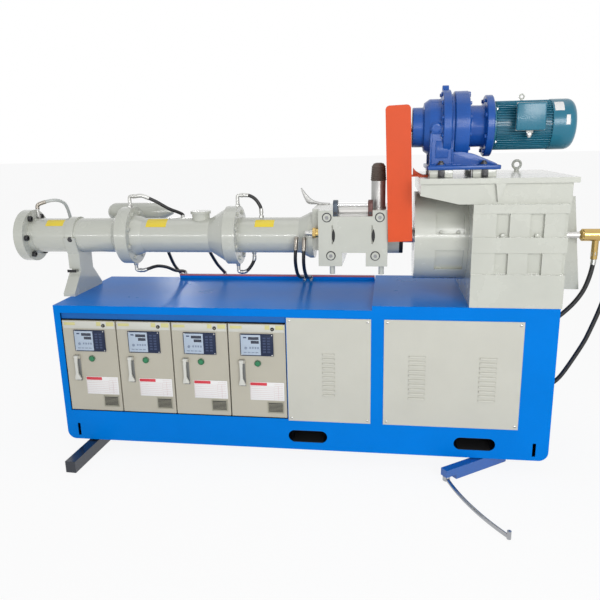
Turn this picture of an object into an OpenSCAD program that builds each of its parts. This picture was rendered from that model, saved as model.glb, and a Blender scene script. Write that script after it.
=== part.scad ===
// Cold-feed rubber extruder with a vented barrel on a steel base cabinet.
// X runs along the screw, from the die head to the gearbox. Y runs to the back. Z is up.

/* [Base cabinet] */
// Length of the base cabinet along the screw
base_l = 2200; // [2100:10:2400]
// Depth of the base cabinet from front to back
base_d = 620; // [600:10:700]
// Height of the cabinet from its floor sheet to its top sheet
base_h = 660; // [640:5:700]
// Clear height under the cabinet
foot_gap = 65; // [62:1:90]
// Height of the raised deck under the gearbox
step_h = 20; // [10:1:30]
// Length of the raised deck
step_l = 757; // [740:1:790]
// Sheet thickness of the cabinet
sheet_t = 4; // [3:0.5:5]
// Radius of the cabinet's two lower corners
corner_r = 40; // [20:1:60]
// Width of a fork slot
fork_w = 176; // [150:1:190]
// Height of a fork slot
fork_h = 58; // [50:1:66]
// Distance of the first fork slot from the middle of the cabinet
fork_x1 = 60; // [40:1:80]
// Distance of the second fork slot from the middle of the cabinet
fork_x2 = 790; // [770:1:810]

/* [Levelling feet] */
// Radius of a foot pad
pad_r = 30; // [25:1:34]
// Thickness of a foot pad
pad_t = 14; // [10:1:18]
// Diameter of a levelling screw
jack_d = 20; // [16:1:24]

/* [Doors] */
// Width of one temperature control door
door_w = 254; // [246:1:258]
// Height of a door
door_h = 438; // [420:1:450]
// Gap between two doors
door_gap = 6; // [5:0.5:8]
// Distance of the first door from the cabinet's left end
door_edge = 34; // [30:1:40]
// Height of the doors above the cabinet's floor sheet
door_rise = 151; // [146:1:156]
// Thickness of a door
door_t = 18; // [15:1:20]
// Radius of a door hinge pin
hinge_r = 4; // [3:0.5:4.5]
// Width of a temperature controller
control_w = 148; // [140:1:152]
// Height of a temperature controller
control_h = 101; // [95:1:106]
// Diameter of a start button's cap
button_d = 22; // [20:0.5:24]
// Length of a door handle
handle_l = 126; // [110:1:140]

/* [Louvred panels] */
// Width of the centre panel
centre_w = 365; // [355:1:370]
// Width of the right panel
right_w = 571; // [560:1:580]
// Height of both panels
panel_h = 480; // [470:1:490]
// Thickness of a panel
panel_t = 3; // [2:0.5:4]
// Louvres in one column
louvre_n = 10; // [8:1:10]

/* [Screw and barrel] */
// Height of the screw axis above the floor
axis_h = 1000; // [980:5:1040]
// Screw diameter
screw_d = 65; // [60:1:68]
// Pitch of the screw flight
screw_pitch = 65; // [60:1:80]
// Outside diameter of the barrel
barrel_d = 165; // [155:1:175]
// Diameter of the barrel flanges
flange_d = 272; // [262:1:280]
// Diameter of the head flange
head_d = 250; // [240:1:256]
// Thickness of the head flange
head_t = 47; // [40:1:55]
// Length of the front barrel section
front_l = 487; // [470:1:500]
// Length of the vented barrel section
vented_l = 515; // [500:1:530]
// Length of the rear barrel section
rear_l = 391; // [380:1:400]
// Pitch circle diameter of the head bolts
head_pcd = 200; // [196:1:206]
// Diameter of the vent opening
vent_d = 50; // [40:1:56]

/* [Support leg] */
// Width of the support leg along the barrel
leg_w = 58; // [50:1:64]
// Depth of the leg's foot
leg_foot = 290; // [270:5:320]
// Distance of the support leg behind the head flange
leg_in = 189; // [187:1:203]

/* [Feed section] */
// Distance of the feed housing's left face from the middle of the cabinet
feed_x = 70; // [60:1:76]
// Length of the feed housing
feed_l = 334; // [326:1:336]
// Depth of the feed housing
feed_w = 300; // [290:1:320]
// Height of the feed housing above the screw axis
feed_up = 130; // [126:1:136]
// Depth of the feed housing below the screw axis
feed_down = 115; // [110:1:120]
// Radius of the feed roll
roll_r = 69; // [66:0.5:70]
// Distance of the feed roll axis in front of the screw axis
roll_front = 80; // [80:0.5:84]
// Height of the feed roll axis above the screw axis
roll_rise = 65; // [65:0.5:68]
// Length of the feed roll
roll_l = 129; // [126:1:131]

/* [Gearbox] */
// Length of the open neck between the feed housing and the bell
neck_l = 114; // [112:1:118]
// Length of the bell
bell_l = 222; // [216:1:226]
// Diameter of the bell
bell_d = 392; // [386:1:394]
// Length of the gearbox housing
gearbox_l = 365; // [362:1:370]
// Height of the gearbox housing
gearbox_h = 420; // [416:1:426]
// Height of the upper box
upper_h = 82; // [78:1:90]
// Thickness of the lid plate
lid_t = 21; // [16:1:24]
// Length of the lid plate
lid_l = 604; // [602:1:612]
// Module of the gears
gear_m = 4; // [4]
// Teeth of the bull gear
bull_teeth = 70; // [70]
// Teeth of the pinion
pinion_teeth = 25; // [25]

/* [Feed roll drive] */
// Height of the reducer axis above the screw axis
reducer_rise = 468; // [466:1:476]
// Radius of the reducer's large ring
ring_r = 166; // [150:1:168]
// Radius of the feed motor's frame
feed_motor_r = 98; // [86:1:99]
// Length of the feed motor
feed_motor_l = 325; // [315:1:335]
// Width of the chain guard along the screw
guard_w = 103; // [98:1:104]
// Height of the chain guard
guard_h = 561; // [556:1:566]
// Depth of the chain guard
guard_d = 190; // [184:1:200]
// Tilt of the chain guard
guard_tilt = 1.9; // [0:0.1:2]

/* [Main drive] */
// Radius of the main motor's frame
main_motor_r = 105; // [95:1:108]
// Length of the main motor's frame
main_motor_l = 420; // [400:1:440]
// Radius of the motor pulley
motor_pulley_r = 60; // [50:1:70]
// Radius of the gearbox pulley
gear_pulley_r = 88; // [80:1:90]

/* [Hoses and arms] */
// Diameter of a coolant hose
hose_d = 16; // [12:1:18]
// Diameter of a hose at the rotary union
union_hose_d = 20; // [16:1:22]
// Length of the left swing arm
left_arm_l = 326; // [310:1:335]
// Length of the right swing arm
right_arm_l = 328; // [318:1:335]
// Straight distance from the tie bar's eye to its tip
bar_l = 430; // [410:5:450]

/* [Hidden] */
$fn = 48;
over = 1;
slack = 0.3;
touch_gap = 0.05;

// Levels and edges of the base cabinet
half_l = base_l / 2;
front_y = -base_d / 2;
back_y = base_d / 2;
top_z = foot_gap + base_h;
deck_z = top_z + step_h;
step_x = half_l - step_l;
fork_z = foot_gap + 65;
foot_x_in = 60;
foot_y_in = 155;
mid_foot_x = 425;
jack_l = 150;
nut_r = 18;
nut_t = 16;
window_w = 14;
window_h = 62;
window_z = foot_gap + 19;

// Doors and what is on them
door_inset = 4;
door_y = front_y + door_inset;
door_z = foot_gap + door_rise;
door_pitch = door_w + door_gap;
skin_t = 3;
rim_w = 14;
hinge_in = 6;
hinge_skin = 1.2;
hinge_y = door_y + hinge_r + hinge_skin;
pin_gap = 4;
pin_l = 12;
ledge_t = 4;
ledge_d = 24;
bay_margin = 4;
strip_h = 32;
strip_in = 8;
shelf_z = door_z - pin_gap - ledge_t;
head_z = door_z + door_h + pin_gap;
control_x = 53;
control_drop = 44;
bezel_t = 6;
control_d = 60;
control_edge = 6;
button_x = 128;
button_drop = 181;
button_ring_r = 15;
button_proud = 5;
button_out = 10;
clip_r = 14;
clip_t = 1.5;
handle_x = 58;
handle_drop = 164;
handle_w = 20;
handle_t = 16;
ear_t = 3.5;
ear_gap = 0.25;
plate_x = 88;
plate_w = 156;
plate_h = 86;
plate_drop = 270;
vent_x = 166;
vent_w = 74;
vent_h = 54;
vent_drop = 363;
lock_x = 198;
lock_drop = 22;
lock_r = 6;

// Panels and louvres
centre_gap = 7;
centre_x = door_x(3) + door_w + centre_gap;
right_gap = 55;
right_x = centre_x + centre_w + right_gap;
panel_z = foot_gap + 142;
panel_lap = 20;
louvre_w = 52;
wide_louvre_w = 68;
louvre_h = 7;
louvre_pitch = 21;
louvre_rise = 124;
screw_in = 14;
screw_head_r = 6;
screw_head_t = 3;
screw_shank_r = 2.5;
screw_hole_r = 3;
screw_l = 12;

// Screw axis and barrel joints, counted from the feed housing towards the head
seam_3 = feed_x - rear_l;
seam_2 = seam_3 - vented_l;
head_x1 = seam_2 - front_l;
head_x0 = head_x1 - head_t;
screw_r = screw_d / 2;
bore_r = screw_r + 0.1;
flight_r = screw_r - 0.2;
root_r = 21;
flight_w = 8;
flight_steps = 12;
flight_in = root_r / cos(180 / flight_steps) + 0.1;
screw_tip_in = 20;
screw_end = feed_x + feed_l - 30;
rim_thin = 21;
rim_thick = 37;
cone_l = 80;
hub_r = 106;
hub_l = 48;
cone_r = barrel_d / 2 + 48;
register_r = 55;
register_l = 8;
head_bolt_r = 14;
head_bolt_t = 18;
head_hole_r = 8.5;
head_shank_r = 6.8;
head_bolt_n = 6;
flange_pcd = 222;
flange_bolt_r = 12;
flange_bolt_t = 12;
flange_shank_r = 8;
flange_hole_r = 8.5;
vent_x_in = 363;
vent_boss_r = 42;
vent_boss_h = 20;
vent_cap_r = 48;
vent_cap_t = 12;

// Support leg
leg_x0 = head_x1 + leg_in;
stub_l = 24;
stub_x1 = half_l + stub_l;
leg_top_d = 128;
leg_plate_t = 14;
saddle_r = 96;
leg_slot_h = 14;
leg_slot_w = 46;
leg_slot_z = top_z + 105;
strap_w = 40;
strap_r = 90;

// Feed section
feed_x1 = feed_x + feed_l;
corner_w = 33;
corner_d = 52;
notch_h = 26;
foot_inner_share = [0.41, 0.72];
feed_front = -feed_w / 2;
feed_top = axis_h + feed_up;
feed_low = axis_h - feed_down;
roll_y = -roll_front;
roll_z = axis_h + roll_rise;
roll_x0 = feed_x + 119;
roll_gap = 1;
cover_t = 12;
throat_l = 116;
throat_w = 110;
cover_slot_x = 92;
cover_slot_w = 6;
cover_slot_h = 82;
block_h = 60;
big_screw_r = 20;
big_screw_t = 5;
roll_shaft_r = 18;
bracket_t = 20;
bracket_h = 68;
bracket_d = 46;
bracket_x0 = roll_x0 - roll_gap - bracket_t;
bracket_x1 = roll_x0 + roll_l + roll_gap;
guide_r = 98;
guide_t = 5;
guide_w = 26;
guide_y = 90;
cylinder_r = 31;
cylinder_h = 122;
cylinder_cap_h = 74;
cylinder_x_in = 43;

// Neck, bell and gearbox
bell_x = feed_x1 + neck_l;
bell_r = bell_d / 2;
bell_t = 16;
gearbox_x = bell_x + bell_l;
gearbox_x1 = gearbox_x + gearbox_l;
gear_wall = 20;
rib_t = 20;
gearbox_y = base_d / 2 - rib_t;
gearbox_z1 = deck_z + gearbox_h;
upper_z1 = gearbox_z1 + upper_h;
lid_z1 = upper_z1 + lid_t;
lid_x0 = gearbox_x - 212;
neck_pipe_l = 51;
quill_r = 38;
union_r = 14;
bull_r = gear_m * bull_teeth / 2;
pinion_r = gear_m * pinion_teeth / 2;
gear_back = bull_r + pinion_r;
bull_x = gearbox_x + 80;
bull_w = 80;
bearing_r = 70;
pinion_bearing_r = 42;
pinion_shaft_r = 25;
bearing_w = 30;
belt_x = gearbox_x1 - 60;
pulley_w = 50;
groove_d = 7;
cover_x1 = gearbox_x1 + 160;
cover_x0 = gearbox_x + 272;
cover_y0 = 42;
cover_wall = 4;

// Feed roll drive above the lid
drive_y = roll_y;
drive_z = axis_h + reducer_rise;
sprocket_x = feed_x1 + 64;
sprocket_w = 12;
roll_sprocket_r = 42;
drive_sprocket_r = 48;
mount_h = 30;
foot_plate_t = 35;
foot_plate_z = lid_z1 + mount_h;
reducer_x0 = bell_x - 18;
guard_x0 = sprocket_x - 62;
guard_z0 = axis_h - 5;
guard_wall = 3;
drive_rotor_r = 14;

// Main drive inside the cabinet
main_y = gear_back;
main_z = shelf_z + ledge_t + main_motor_r + 12;
main_x0 = belt_x - 60 - main_motor_l;

// Rotary union and its hoses
union_x0 = gearbox_x1 + 135;
union_x1 = union_x0 + 80;
union_body_r = 27;
elbow_drop = 107;
outer_hose_x = 1392;

// Swing arms
arm_low = 5;
arm_h = 54;
arm_w = 48;
slim_arm_w = 36;
arm_pin_r = 12;
arm_bore_gap = 0.05;
left_pivot_share = [0.4405, 0.31];
left_pivot = [-left_pivot_share[0] * base_l, -left_pivot_share[1] * base_d];
left_angle = 267;
right_pivot_share = [0.4227, 0.331];
right_pivot = [right_pivot_share[0] * base_l, -right_pivot_share[1] * base_d];
right_angle = 217;
right_end = right_pivot + right_arm_l * [cos(right_angle), sin(right_angle)];
bar_angle = -63.8;
bar_bend_r = 1100;
bar_r = 8;
bar_eye_r = 16;
bar_eye_t = 20;
bar_notch = 40;
bar_pin_r = 7;

// Rail at the back edge that the hoses go into
rail_x0 = -700;
rail_x1 = 340;
rail_d = 25;
rail_h = 20;

// Middle of the whole machine's outline in plan
bar_tip_y = right_end[1] + bar_l * sin(bar_angle);
mid_x = (head_x0 + outer_hose_x) / 2;
mid_y = (bar_tip_y - bar_r + back_y) / 2;

function door_x(i) = -half_l + door_edge + i * door_pitch;

// Shared shapes. Ends and centres are given in the base cabinet's own axes.
module in_frame() {
    translate([-mid_x, -mid_y, 0])
        children();
}

module block(low, high) {
    translate(low)
        cube(high - low);
}

module y_slab(y, t) {
    translate([0, y, 0])
        rotate([90, 0, 0])
            linear_extrude(t)
                children();
}

module x_rod(r, x0, x1, y, z) {
    translate([x0, y, z])
        rotate([0, 90, 0])
            cylinder(r = r, h = x1 - x0);
}

module y_rod(r, y0, y1, x, z) {
    translate([x, y0, z])
        rotate([-90, 0, 0])
            cylinder(r = r, h = y1 - y0);
}

module z_rod(r, z0, z1, x, y) {
    translate([x, y, z0])
        cylinder(r = r, h = z1 - z0);
}

module x_cone(r0, r1, x0, x1, y, z) {
    translate([x0, y, z])
        rotate([0, 90, 0])
            cylinder(r1 = r0, r2 = r1, h = x1 - x0);
}

module ring_of(count, pcd, turn = 0) {
    for (i = [0 : count - 1])
        rotate([turn + i * 360 / count, 0, 0])
            translate([0, 0, pcd / 2])
                children();
}

module on_axis(x) {
    translate([x, 0, axis_h])
        children();
}

module gear_outline(teeth, m) {
    circle(r = m * (teeth / 2 - 1.2));
    for (i = [0 : teeth - 1])
        rotate(i * 360 / teeth)
            polygon([[m * (teeth / 2 - 1.4), -0.86 * m], [m * (teeth / 2), -0.7 * m],
                [m * (teeth / 2 + 0.9), -0.36 * m], [m * (teeth / 2 + 0.9), 0.36 * m],
                [m * (teeth / 2), 0.7 * m], [m * (teeth / 2 - 1.4), 0.86 * m]]);
}

module x_gear(teeth, m, x0, x1, y, z, turn) {
    translate([x0, y, z])
        rotate([0, 90, 0])
            rotate(turn)
                linear_extrude(x1 - x0)
                    gear_outline(teeth, m);
}

// Base cabinet
module cabinet_outline(inset) {
    translate([-half_l + inset, foot_gap + corner_r])
        square([base_l - 2 * inset, base_h - corner_r - inset]);
    translate([-half_l + corner_r, foot_gap + inset])
        square([base_l - 2 * corner_r, base_h - 2 * inset]);
    translate([step_x + inset, foot_gap + corner_r])
        square([step_l - 2 * inset, base_h + step_h - corner_r - inset]);
    for (side = [-1, 1])
        translate([side * (half_l - corner_r), foot_gap + corner_r])
            circle(r = corner_r - inset);
}

module cabinet_solid(inset) {
    y_slab(back_y - inset, base_d - 2 * inset)
        cabinet_outline(inset);
}

module fork_outline(inset) {
    square([fork_w - fork_h, fork_h - 2 * inset], center = true);
    for (side = [-1, 1])
        translate([side * (fork_w - fork_h) / 2, 0])
            circle(r = fork_h / 2 - inset);
}

module fork_tube(x, inset, past) {
    translate([x, back_y + past, fork_z])
        rotate([90, 0, 0])
            linear_extrude(base_d + 2 * past)
                fork_outline(inset);
}

module cabinet_inside() {
    for (x = [fork_x1, fork_x2])
        fork_tube(x, -sheet_t, 0);
    block([-half_l + over, door_y, shelf_z], [half_l - over, back_y - over, shelf_z + ledge_t]);
    block([door_x(0) - bay_margin, door_y, head_z],
        [door_x(3) + door_w + bay_margin, door_y + ledge_d, head_z + ledge_t]);
    block([door_x(0) - bay_margin - over, front_y + strip_in, head_z],
        [door_x(3) + door_w + bay_margin + over, front_y + strip_in + sheet_t, top_z - over]);
    for (i = [1 : 3])
        block([door_x(i) - door_gap / 2 - sheet_t / 2, door_y + ledge_d, shelf_z],
            [door_x(i) - door_gap / 2 + sheet_t / 2, back_y - over, top_z - over]);
    block([centre_x, front_y + over, shelf_z], [centre_x + sheet_t, back_y - over, top_z - over]);
    for (i = [0 : 3], low = [true, false])
        z_rod(hinge_r, low ? shelf_z + over : door_z + door_h - pin_l,
            low ? door_z + pin_l : head_z + over,
            door_x(i) + door_w - hinge_in, hinge_y);
}

module cabinet_openings() {
    block([door_x(0) - bay_margin, front_y - over, shelf_z + ledge_t],
        [door_x(3) + door_w + bay_margin, front_y + sheet_t + over, head_z + strip_h]);
    block([centre_x + panel_lap, front_y - over, panel_z + panel_lap],
        [centre_x + centre_w - panel_lap, front_y + sheet_t + over, panel_z + panel_h - panel_lap]);
    block([right_x + panel_lap, front_y - over, panel_z + panel_lap],
        [right_x + right_w - panel_lap, front_y + sheet_t + over, panel_z + panel_h - panel_lap]);
    for (x = feet_x(), y = [front_y, back_y])
        if (abs(x) > mid_foot_x)
            block([x - window_w / 2, y - sheet_t - over, window_z],
                [x + window_w / 2, y + sheet_t + over, window_z + window_h]);
    for (x = feet_x(), y = feet_y())
        z_rod(jack_d / 2 + over, foot_gap - over, foot_gap + sheet_t + over, x, y);
    for (x = [centre_x, right_x], high = [0, 1], far = [0, 1])
        y_rod(screw_hole_r, front_y - over, front_y + sheet_t + over,
            x + (far == 0 ? screw_in : (x == centre_x ? centre_w : right_w) - screw_in),
            panel_z + (high == 0 ? screw_in : panel_h - screw_in));
    block([belt_x - pulley_w / 2 - 5 * over, gear_back - gear_pulley_r - sheet_t, top_z - base_h / 8],
        [belt_x + pulley_w / 2 + 5 * over, gear_back + gear_pulley_r + sheet_t, deck_z + over]);
}

function feet_x() = [-half_l + foot_x_in, mid_foot_x, half_l - foot_x_in];
function feet_y() = [front_y + foot_y_in, back_y - foot_y_in];

module base_frame() {
    color("dodgerblue") in_frame() {
        difference() {
            union() {
                difference() {
                    cabinet_solid(0);
                    cabinet_solid(sheet_t);
                }
                intersection() {
                    cabinet_solid(over / 2);
                    cabinet_inside();
                }
            }
            cabinet_openings();
            for (x = [fork_x1, fork_x2])
                fork_tube(x, 0, over);
        }
        block([rail_x0, back_y - rail_d, top_z], [rail_x1, back_y, top_z + rail_h]);
    }
}

module levelling_feet() {
    color("silver") in_frame()
        for (x = feet_x(), y = feet_y()) {
            z_rod(pad_r, 0, pad_t, x, y);
            z_rod(jack_d / 2, pad_t, jack_l, x, y);
            translate([x, y, foot_gap - nut_t])
                cylinder(r = nut_r, h = nut_t, $fn = 6);
            translate([x, y, foot_gap + sheet_t])
                cylinder(r = nut_r, h = nut_t, $fn = 6);
        }
}

// Doors
module door(i) {
    x0 = door_x(i);
    z1 = door_z + door_h;
    hx = x0 + handle_x;
    hz = z1 - handle_drop;
    difference() {
        union() {
            block([x0, door_y, door_z], [x0 + door_w, door_y + door_t, z1]);
            y_rod(button_ring_r, door_y - button_proud, door_y + over, x0 + button_x, z1 - button_drop);
            y_rod(lock_r, door_y - sheet_t, door_y + over, x0 + lock_x, z1 - lock_drop);
            block([x0 + plate_x, door_y - over, z1 - plate_drop - plate_h],
                [x0 + plate_x + plate_w, door_y + over, z1 - plate_drop]);
            block([x0 + vent_x, door_y - skin_t, z1 - vent_drop - vent_h],
                [x0 + vent_x + vent_w, door_y + over, z1 - vent_drop]);
            block([hx - handle_w / 2 - ear_t, door_y - sheet_t, hz - handle_l],
                [hx + handle_w / 2 + ear_t, door_y + over, hz]);
            for (side = [-1, 1])
                handle_ear(hx + side * (handle_w / 2 + ear_gap + ear_t / 2), hz);
        }
        block([x0 + rim_w, door_y + skin_t, door_z + rim_w],
            [x0 + door_w - rim_w, door_y + door_t + over, z1 - rim_w]);
        block([x0 + control_x + control_edge, door_y - over, z1 - control_drop - control_h + control_edge],
            [x0 + control_x + control_w - control_edge, door_y + skin_t + over,
                z1 - control_drop - control_edge]);
        y_rod(button_d / 2 + slack, door_y - button_proud - over, door_y + skin_t + over,
            x0 + button_x, z1 - button_drop);
        for (z = [door_z - over, z1 - pin_l - over])
            z_rod(hinge_r + touch_gap, z, z + pin_l + 2 * over, x0 + door_w - hinge_in, hinge_y);
        x_rod(ear_t + touch_gap, hx - handle_w, hx + handle_w, door_y - handle_pivot_out(),
            hz - handle_t / 2);
    }
}

function handle_pivot_out() = sheet_t + handle_t / 2 + over;

module handle_ear(x, hz) {
    block([x - ear_t / 2, door_y - handle_pivot_out(), hz - handle_t],
        [x + ear_t / 2, door_y, hz]);
    x_rod(handle_t / 2, x - ear_t / 2, x + ear_t / 2, door_y - handle_pivot_out(), hz - handle_t / 2);
}

module door_handle(i) {
    hx = door_x(i) + handle_x;
    hz = door_z + door_h - handle_drop;
    y1 = door_y - handle_pivot_out();
    x_rod(handle_t / 2, hx - handle_w / 2, hx + handle_w / 2, y1, hz - handle_t / 2);
    block([hx - handle_w / 2, y1 - handle_t / 2, hz - handle_l + handle_t / 2],
        [hx + handle_w / 2, y1 + handle_t / 4, hz - handle_t / 2]);
    x_rod(ear_t, hx - handle_w / 2 - ear_gap - ear_t, hx + handle_w / 2 + ear_gap + ear_t,
        y1, hz - handle_t / 2);
}

module controller(i) {
    x0 = door_x(i) + control_x;
    z1 = door_z + door_h - control_drop;
    body_in = control_edge + touch_gap * 4;
    block([x0, door_y - bezel_t, z1 - control_h], [x0 + control_w, door_y, z1]);
    block([x0 + body_in, door_y, z1 - control_h + body_in],
        [x0 + control_w - body_in, door_y + control_d, z1 - body_in]);
}

module start_button(i) {
    x = door_x(i) + button_x;
    z = door_z + door_h - button_drop;
    y_rod(button_d / 2, door_y - button_out, door_y + skin_t + touch_gap, x, z);
    y_rod(clip_r, door_y + skin_t + touch_gap, door_y + skin_t + clip_t, x, z);
}

module door_1() {
    color("wheat") in_frame() door(0);
}

module door_2() {
    color("wheat") in_frame() door(1);
}

module door_3() {
    color("wheat") in_frame() door(2);
}

module door_4() {
    color("wheat") in_frame() door(3);
}

module door_handle_1() {
    color("silver") in_frame() door_handle(0);
}

module door_handle_2() {
    color("silver") in_frame() door_handle(1);
}

module door_handle_3() {
    color("silver") in_frame() door_handle(2);
}

module door_handle_4() {
    color("silver") in_frame() door_handle(3);
}

module controller_1() {
    color("midnightblue") in_frame() controller(0);
}

module controller_2() {
    color("midnightblue") in_frame() controller(1);
}

module controller_3() {
    color("midnightblue") in_frame() controller(2);
}

module controller_4() {
    color("midnightblue") in_frame() controller(3);
}

module start_button_1() {
    color("green") in_frame() start_button(0);
}

module start_button_2() {
    color("green") in_frame() start_button(1);
}

module start_button_3() {
    color("green") in_frame() start_button(2);
}

module start_button_4() {
    color("green") in_frame() start_button(3);
}

// Louvred panels and their screws
module louvred_panel(x, w, columns) {
    difference() {
        block([x, front_y - panel_t, panel_z], [x + w, front_y, panel_z + panel_h]);
        for (column = columns, i = [0 : louvre_n - 1])
            block([column[0], front_y - panel_t - over, panel_z + louvre_rise + i * louvre_pitch],
                [column[0] + column[1], front_y + over,
                    panel_z + louvre_rise + i * louvre_pitch + louvre_h]);
        for (dx = [screw_in, w - screw_in], dz = [screw_in, panel_h - screw_in])
            y_rod(screw_hole_r, front_y - panel_t - over, front_y + over, x + dx, panel_z + dz);
    }
}

module panel_screw_at(x, z) {
    y_rod(screw_head_r, front_y - panel_t - screw_head_t, front_y - panel_t, x, z);
    y_rod(screw_shank_r, front_y - panel_t, front_y + screw_l, x, z);
}

module centre_panel() {
    color("royalblue") in_frame()
        louvred_panel(centre_x, centre_w, [[centre_x + (centre_w - louvre_w) / 2, louvre_w]]);
}

module right_panel() {
    color("royalblue") in_frame()
        louvred_panel(right_x, right_w, [[right_x + right_w * 0.187, wide_louvre_w],
            [right_x + right_w * 0.7, wide_louvre_w]]);
}

module panel_screws() {
    color("silver") in_frame() {
        for (dx = [screw_in, centre_w - screw_in], dz = [screw_in, panel_h - screw_in])
            panel_screw_at(centre_x + dx, panel_z + dz);
        for (dx = [screw_in, right_w - screw_in], dz = [screw_in, panel_h - screw_in])
            panel_screw_at(right_x + dx, panel_z + dz);
    }
}

// Temperature control units behind the doors
tank_r = 52;
tank_h = 270;
pump_r = 38;
pump_l = 110;

module temperature_unit(i) {
    x = door_x(i) + door_w / 2;
    floor_z = shelf_z + ledge_t;
    z_rod(tank_r, floor_z, floor_z + tank_h, x - tank_r, back_y / 3);
    z_rod(tank_r / 4, floor_z + tank_h, floor_z + tank_h + tank_r, x - tank_r, back_y / 3);
    block([x + tank_r / 4, -pump_r, floor_z], [x + 2 * tank_r, pump_r, floor_z + pump_r / 2]);
    z_rod(pump_r, floor_z + pump_r / 2, floor_z + pump_l + pump_r, x + tank_r, 0);
}

module temperature_units() {
    color("slategrey") in_frame()
        for (i = [0 : 3])
            temperature_unit(i);
}

// Screw and barrel
function flight_ring(x, turn) = [
    [x, flight_in * cos(turn), flight_in * sin(turn)],
    [x + flight_w, flight_in * cos(turn), flight_in * sin(turn)],
    [x + flight_w, flight_r * cos(turn), flight_r * sin(turn)],
    [x, flight_r * cos(turn), flight_r * sin(turn)]];

module flight(x0, x1) {
    steps = floor((x1 - x0 - flight_w) / screw_pitch * flight_steps);
    points = [for (i = [0 : steps])
        each flight_ring(x0 + i * screw_pitch / flight_steps, i * 360 / flight_steps)];
    sides = [for (i = [0 : steps - 1], j = [0 : 3])
        each [[4 * i + j, 4 * i + 4 + j, 4 * i + (j + 1) % 4],
            [4 * i + (j + 1) % 4, 4 * i + 4 + j, 4 * i + 4 + (j + 1) % 4]]];
    last = 4 * steps;
    ends = [[0, 2, 3], [0, 1, 2], [last, last + 2, last + 1], [last, last + 3, last + 2]];
    polyhedron(points, concat(sides, ends));
}

module extruder_screw() {
    color("lightsteelblue") in_frame() {
        x_rod(root_r, head_x1 + screw_tip_in, screw_end, 0, axis_h);
        x_cone(0, root_r, head_x1, head_x1 + screw_tip_in, 0, axis_h);
        x_rod(flight_r, screw_end, feed_x1, 0, axis_h);
        x_rod(quill_r - sheet_t, feed_x1, bell_x, 0, axis_h);
        translate([0, 0, axis_h])
            flight(head_x1 + screw_tip_in, screw_end - touch_gap);
    }
}

module head_flange() {
    color("lightgrey") in_frame()
        difference() {
            x_rod(head_d / 2, head_x0, head_x1, 0, axis_h);
            x_rod(bore_r, head_x0 - over, head_x1 + over, 0, axis_h);
            x_rod(register_r, head_x0 - over, head_x0 + register_l, 0, axis_h);
            on_axis(head_x0)
                ring_of(head_bolt_n, head_pcd)
                    rotate([0, 90, 0])
                        translate([0, 0, -over])
                            cylinder(r = head_hole_r, h = head_t / 2 + over);
            on_axis(head_x1)
                ring_of(head_bolt_n, head_pcd, 90)
                    rotate([0, -90, 0])
                        translate([0, 0, -over])
                            cylinder(r = head_shank_r + touch_gap, h = head_t / 2 + over);
        }
}

module barrel_tube(x0, x1) {
    difference() {
        union() {
            x_rod(barrel_d / 2, x0, x1, 0, axis_h);
            children();
        }
        x_rod(bore_r, x0 - over, x1 + over, 0, axis_h);
    }
}

module flange_holes(x0, x1) {
    on_axis(x0)
        ring_of(8, flange_pcd, 22.5)
            rotate([0, 90, 0])
                cylinder(r = flange_hole_r, h = x1 - x0);
}

collar_w = 23;
collar_r = head_pcd / 2 - head_bolt_r - 2 * over;

module barrel_front() {
    color("lightgrey") in_frame()
        difference() {
            barrel_tube(head_x1, seam_2) {
                x_rod(collar_r, head_x1, head_x1 + collar_w, 0, axis_h);
                x_cone(barrel_d / 2, flange_d / 2 - rim_thin / 4, seam_2 - rim_thin - cone_l / 2,
                    seam_2 - rim_thin, 0, axis_h);
                x_rod(flange_d / 2, seam_2 - rim_thin, seam_2, 0, axis_h);
            }
            flange_holes(seam_2 - rim_thin * 0.9, seam_2 + over);
        }
}

module barrel_vented() {
    vent_at = seam_2 + vent_x_in;
    color("lightgrey") in_frame()
        difference() {
            barrel_tube(seam_2, seam_3) {
                x_rod(flange_d / 2, seam_2, seam_2 + rim_thick, 0, axis_h);
                x_cone(flange_pcd / 2 - flange_bolt_r - over, barrel_d / 2, seam_2 + rim_thick,
                    seam_2 + rim_thick + hub_l, 0, axis_h);
                x_cone(barrel_d / 2, cone_r, seam_3 - rim_thin - cone_l, seam_3 - rim_thin, 0, axis_h);
                x_rod(flange_d / 2, seam_3 - rim_thin, seam_3, 0, axis_h);
                z_rod(vent_boss_r, axis_h, axis_h + barrel_d / 2 + vent_boss_h, vent_at, 0);
            }
            flange_holes(seam_2 - over, seam_2 + rim_thick + over);
            flange_holes(seam_3 - rim_thin * 0.9, seam_3 + over);
            z_rod(vent_d / 2, axis_h, axis_h + barrel_d, vent_at, 0);
        }
}

module vent_cap() {
    z0 = axis_h + barrel_d / 2 + vent_boss_h;
    color("lightgrey") in_frame() {
        z_rod(vent_cap_r, z0, z0 + vent_cap_t, seam_2 + vent_x_in, 0);
        z_rod(vent_d / 2 - slack, z0 - vent_boss_h, z0, seam_2 + vent_x_in, 0);
    }
}

module barrel_rear() {
    color("lightgrey") in_frame()
        difference() {
            barrel_tube(seam_3, feed_x) {
                x_rod(flange_d / 2, seam_3, seam_3 + rim_thick, 0, axis_h);
                x_cone(barrel_d / 2, hub_r, feed_x - rim_thin - hub_l, feed_x - rim_thin, 0, axis_h);
                x_rod(hub_r, feed_x - rim_thin, feed_x, 0, axis_h);
            }
            flange_holes(seam_3 - over, seam_3 + rim_thick + over);
        }
}

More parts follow.
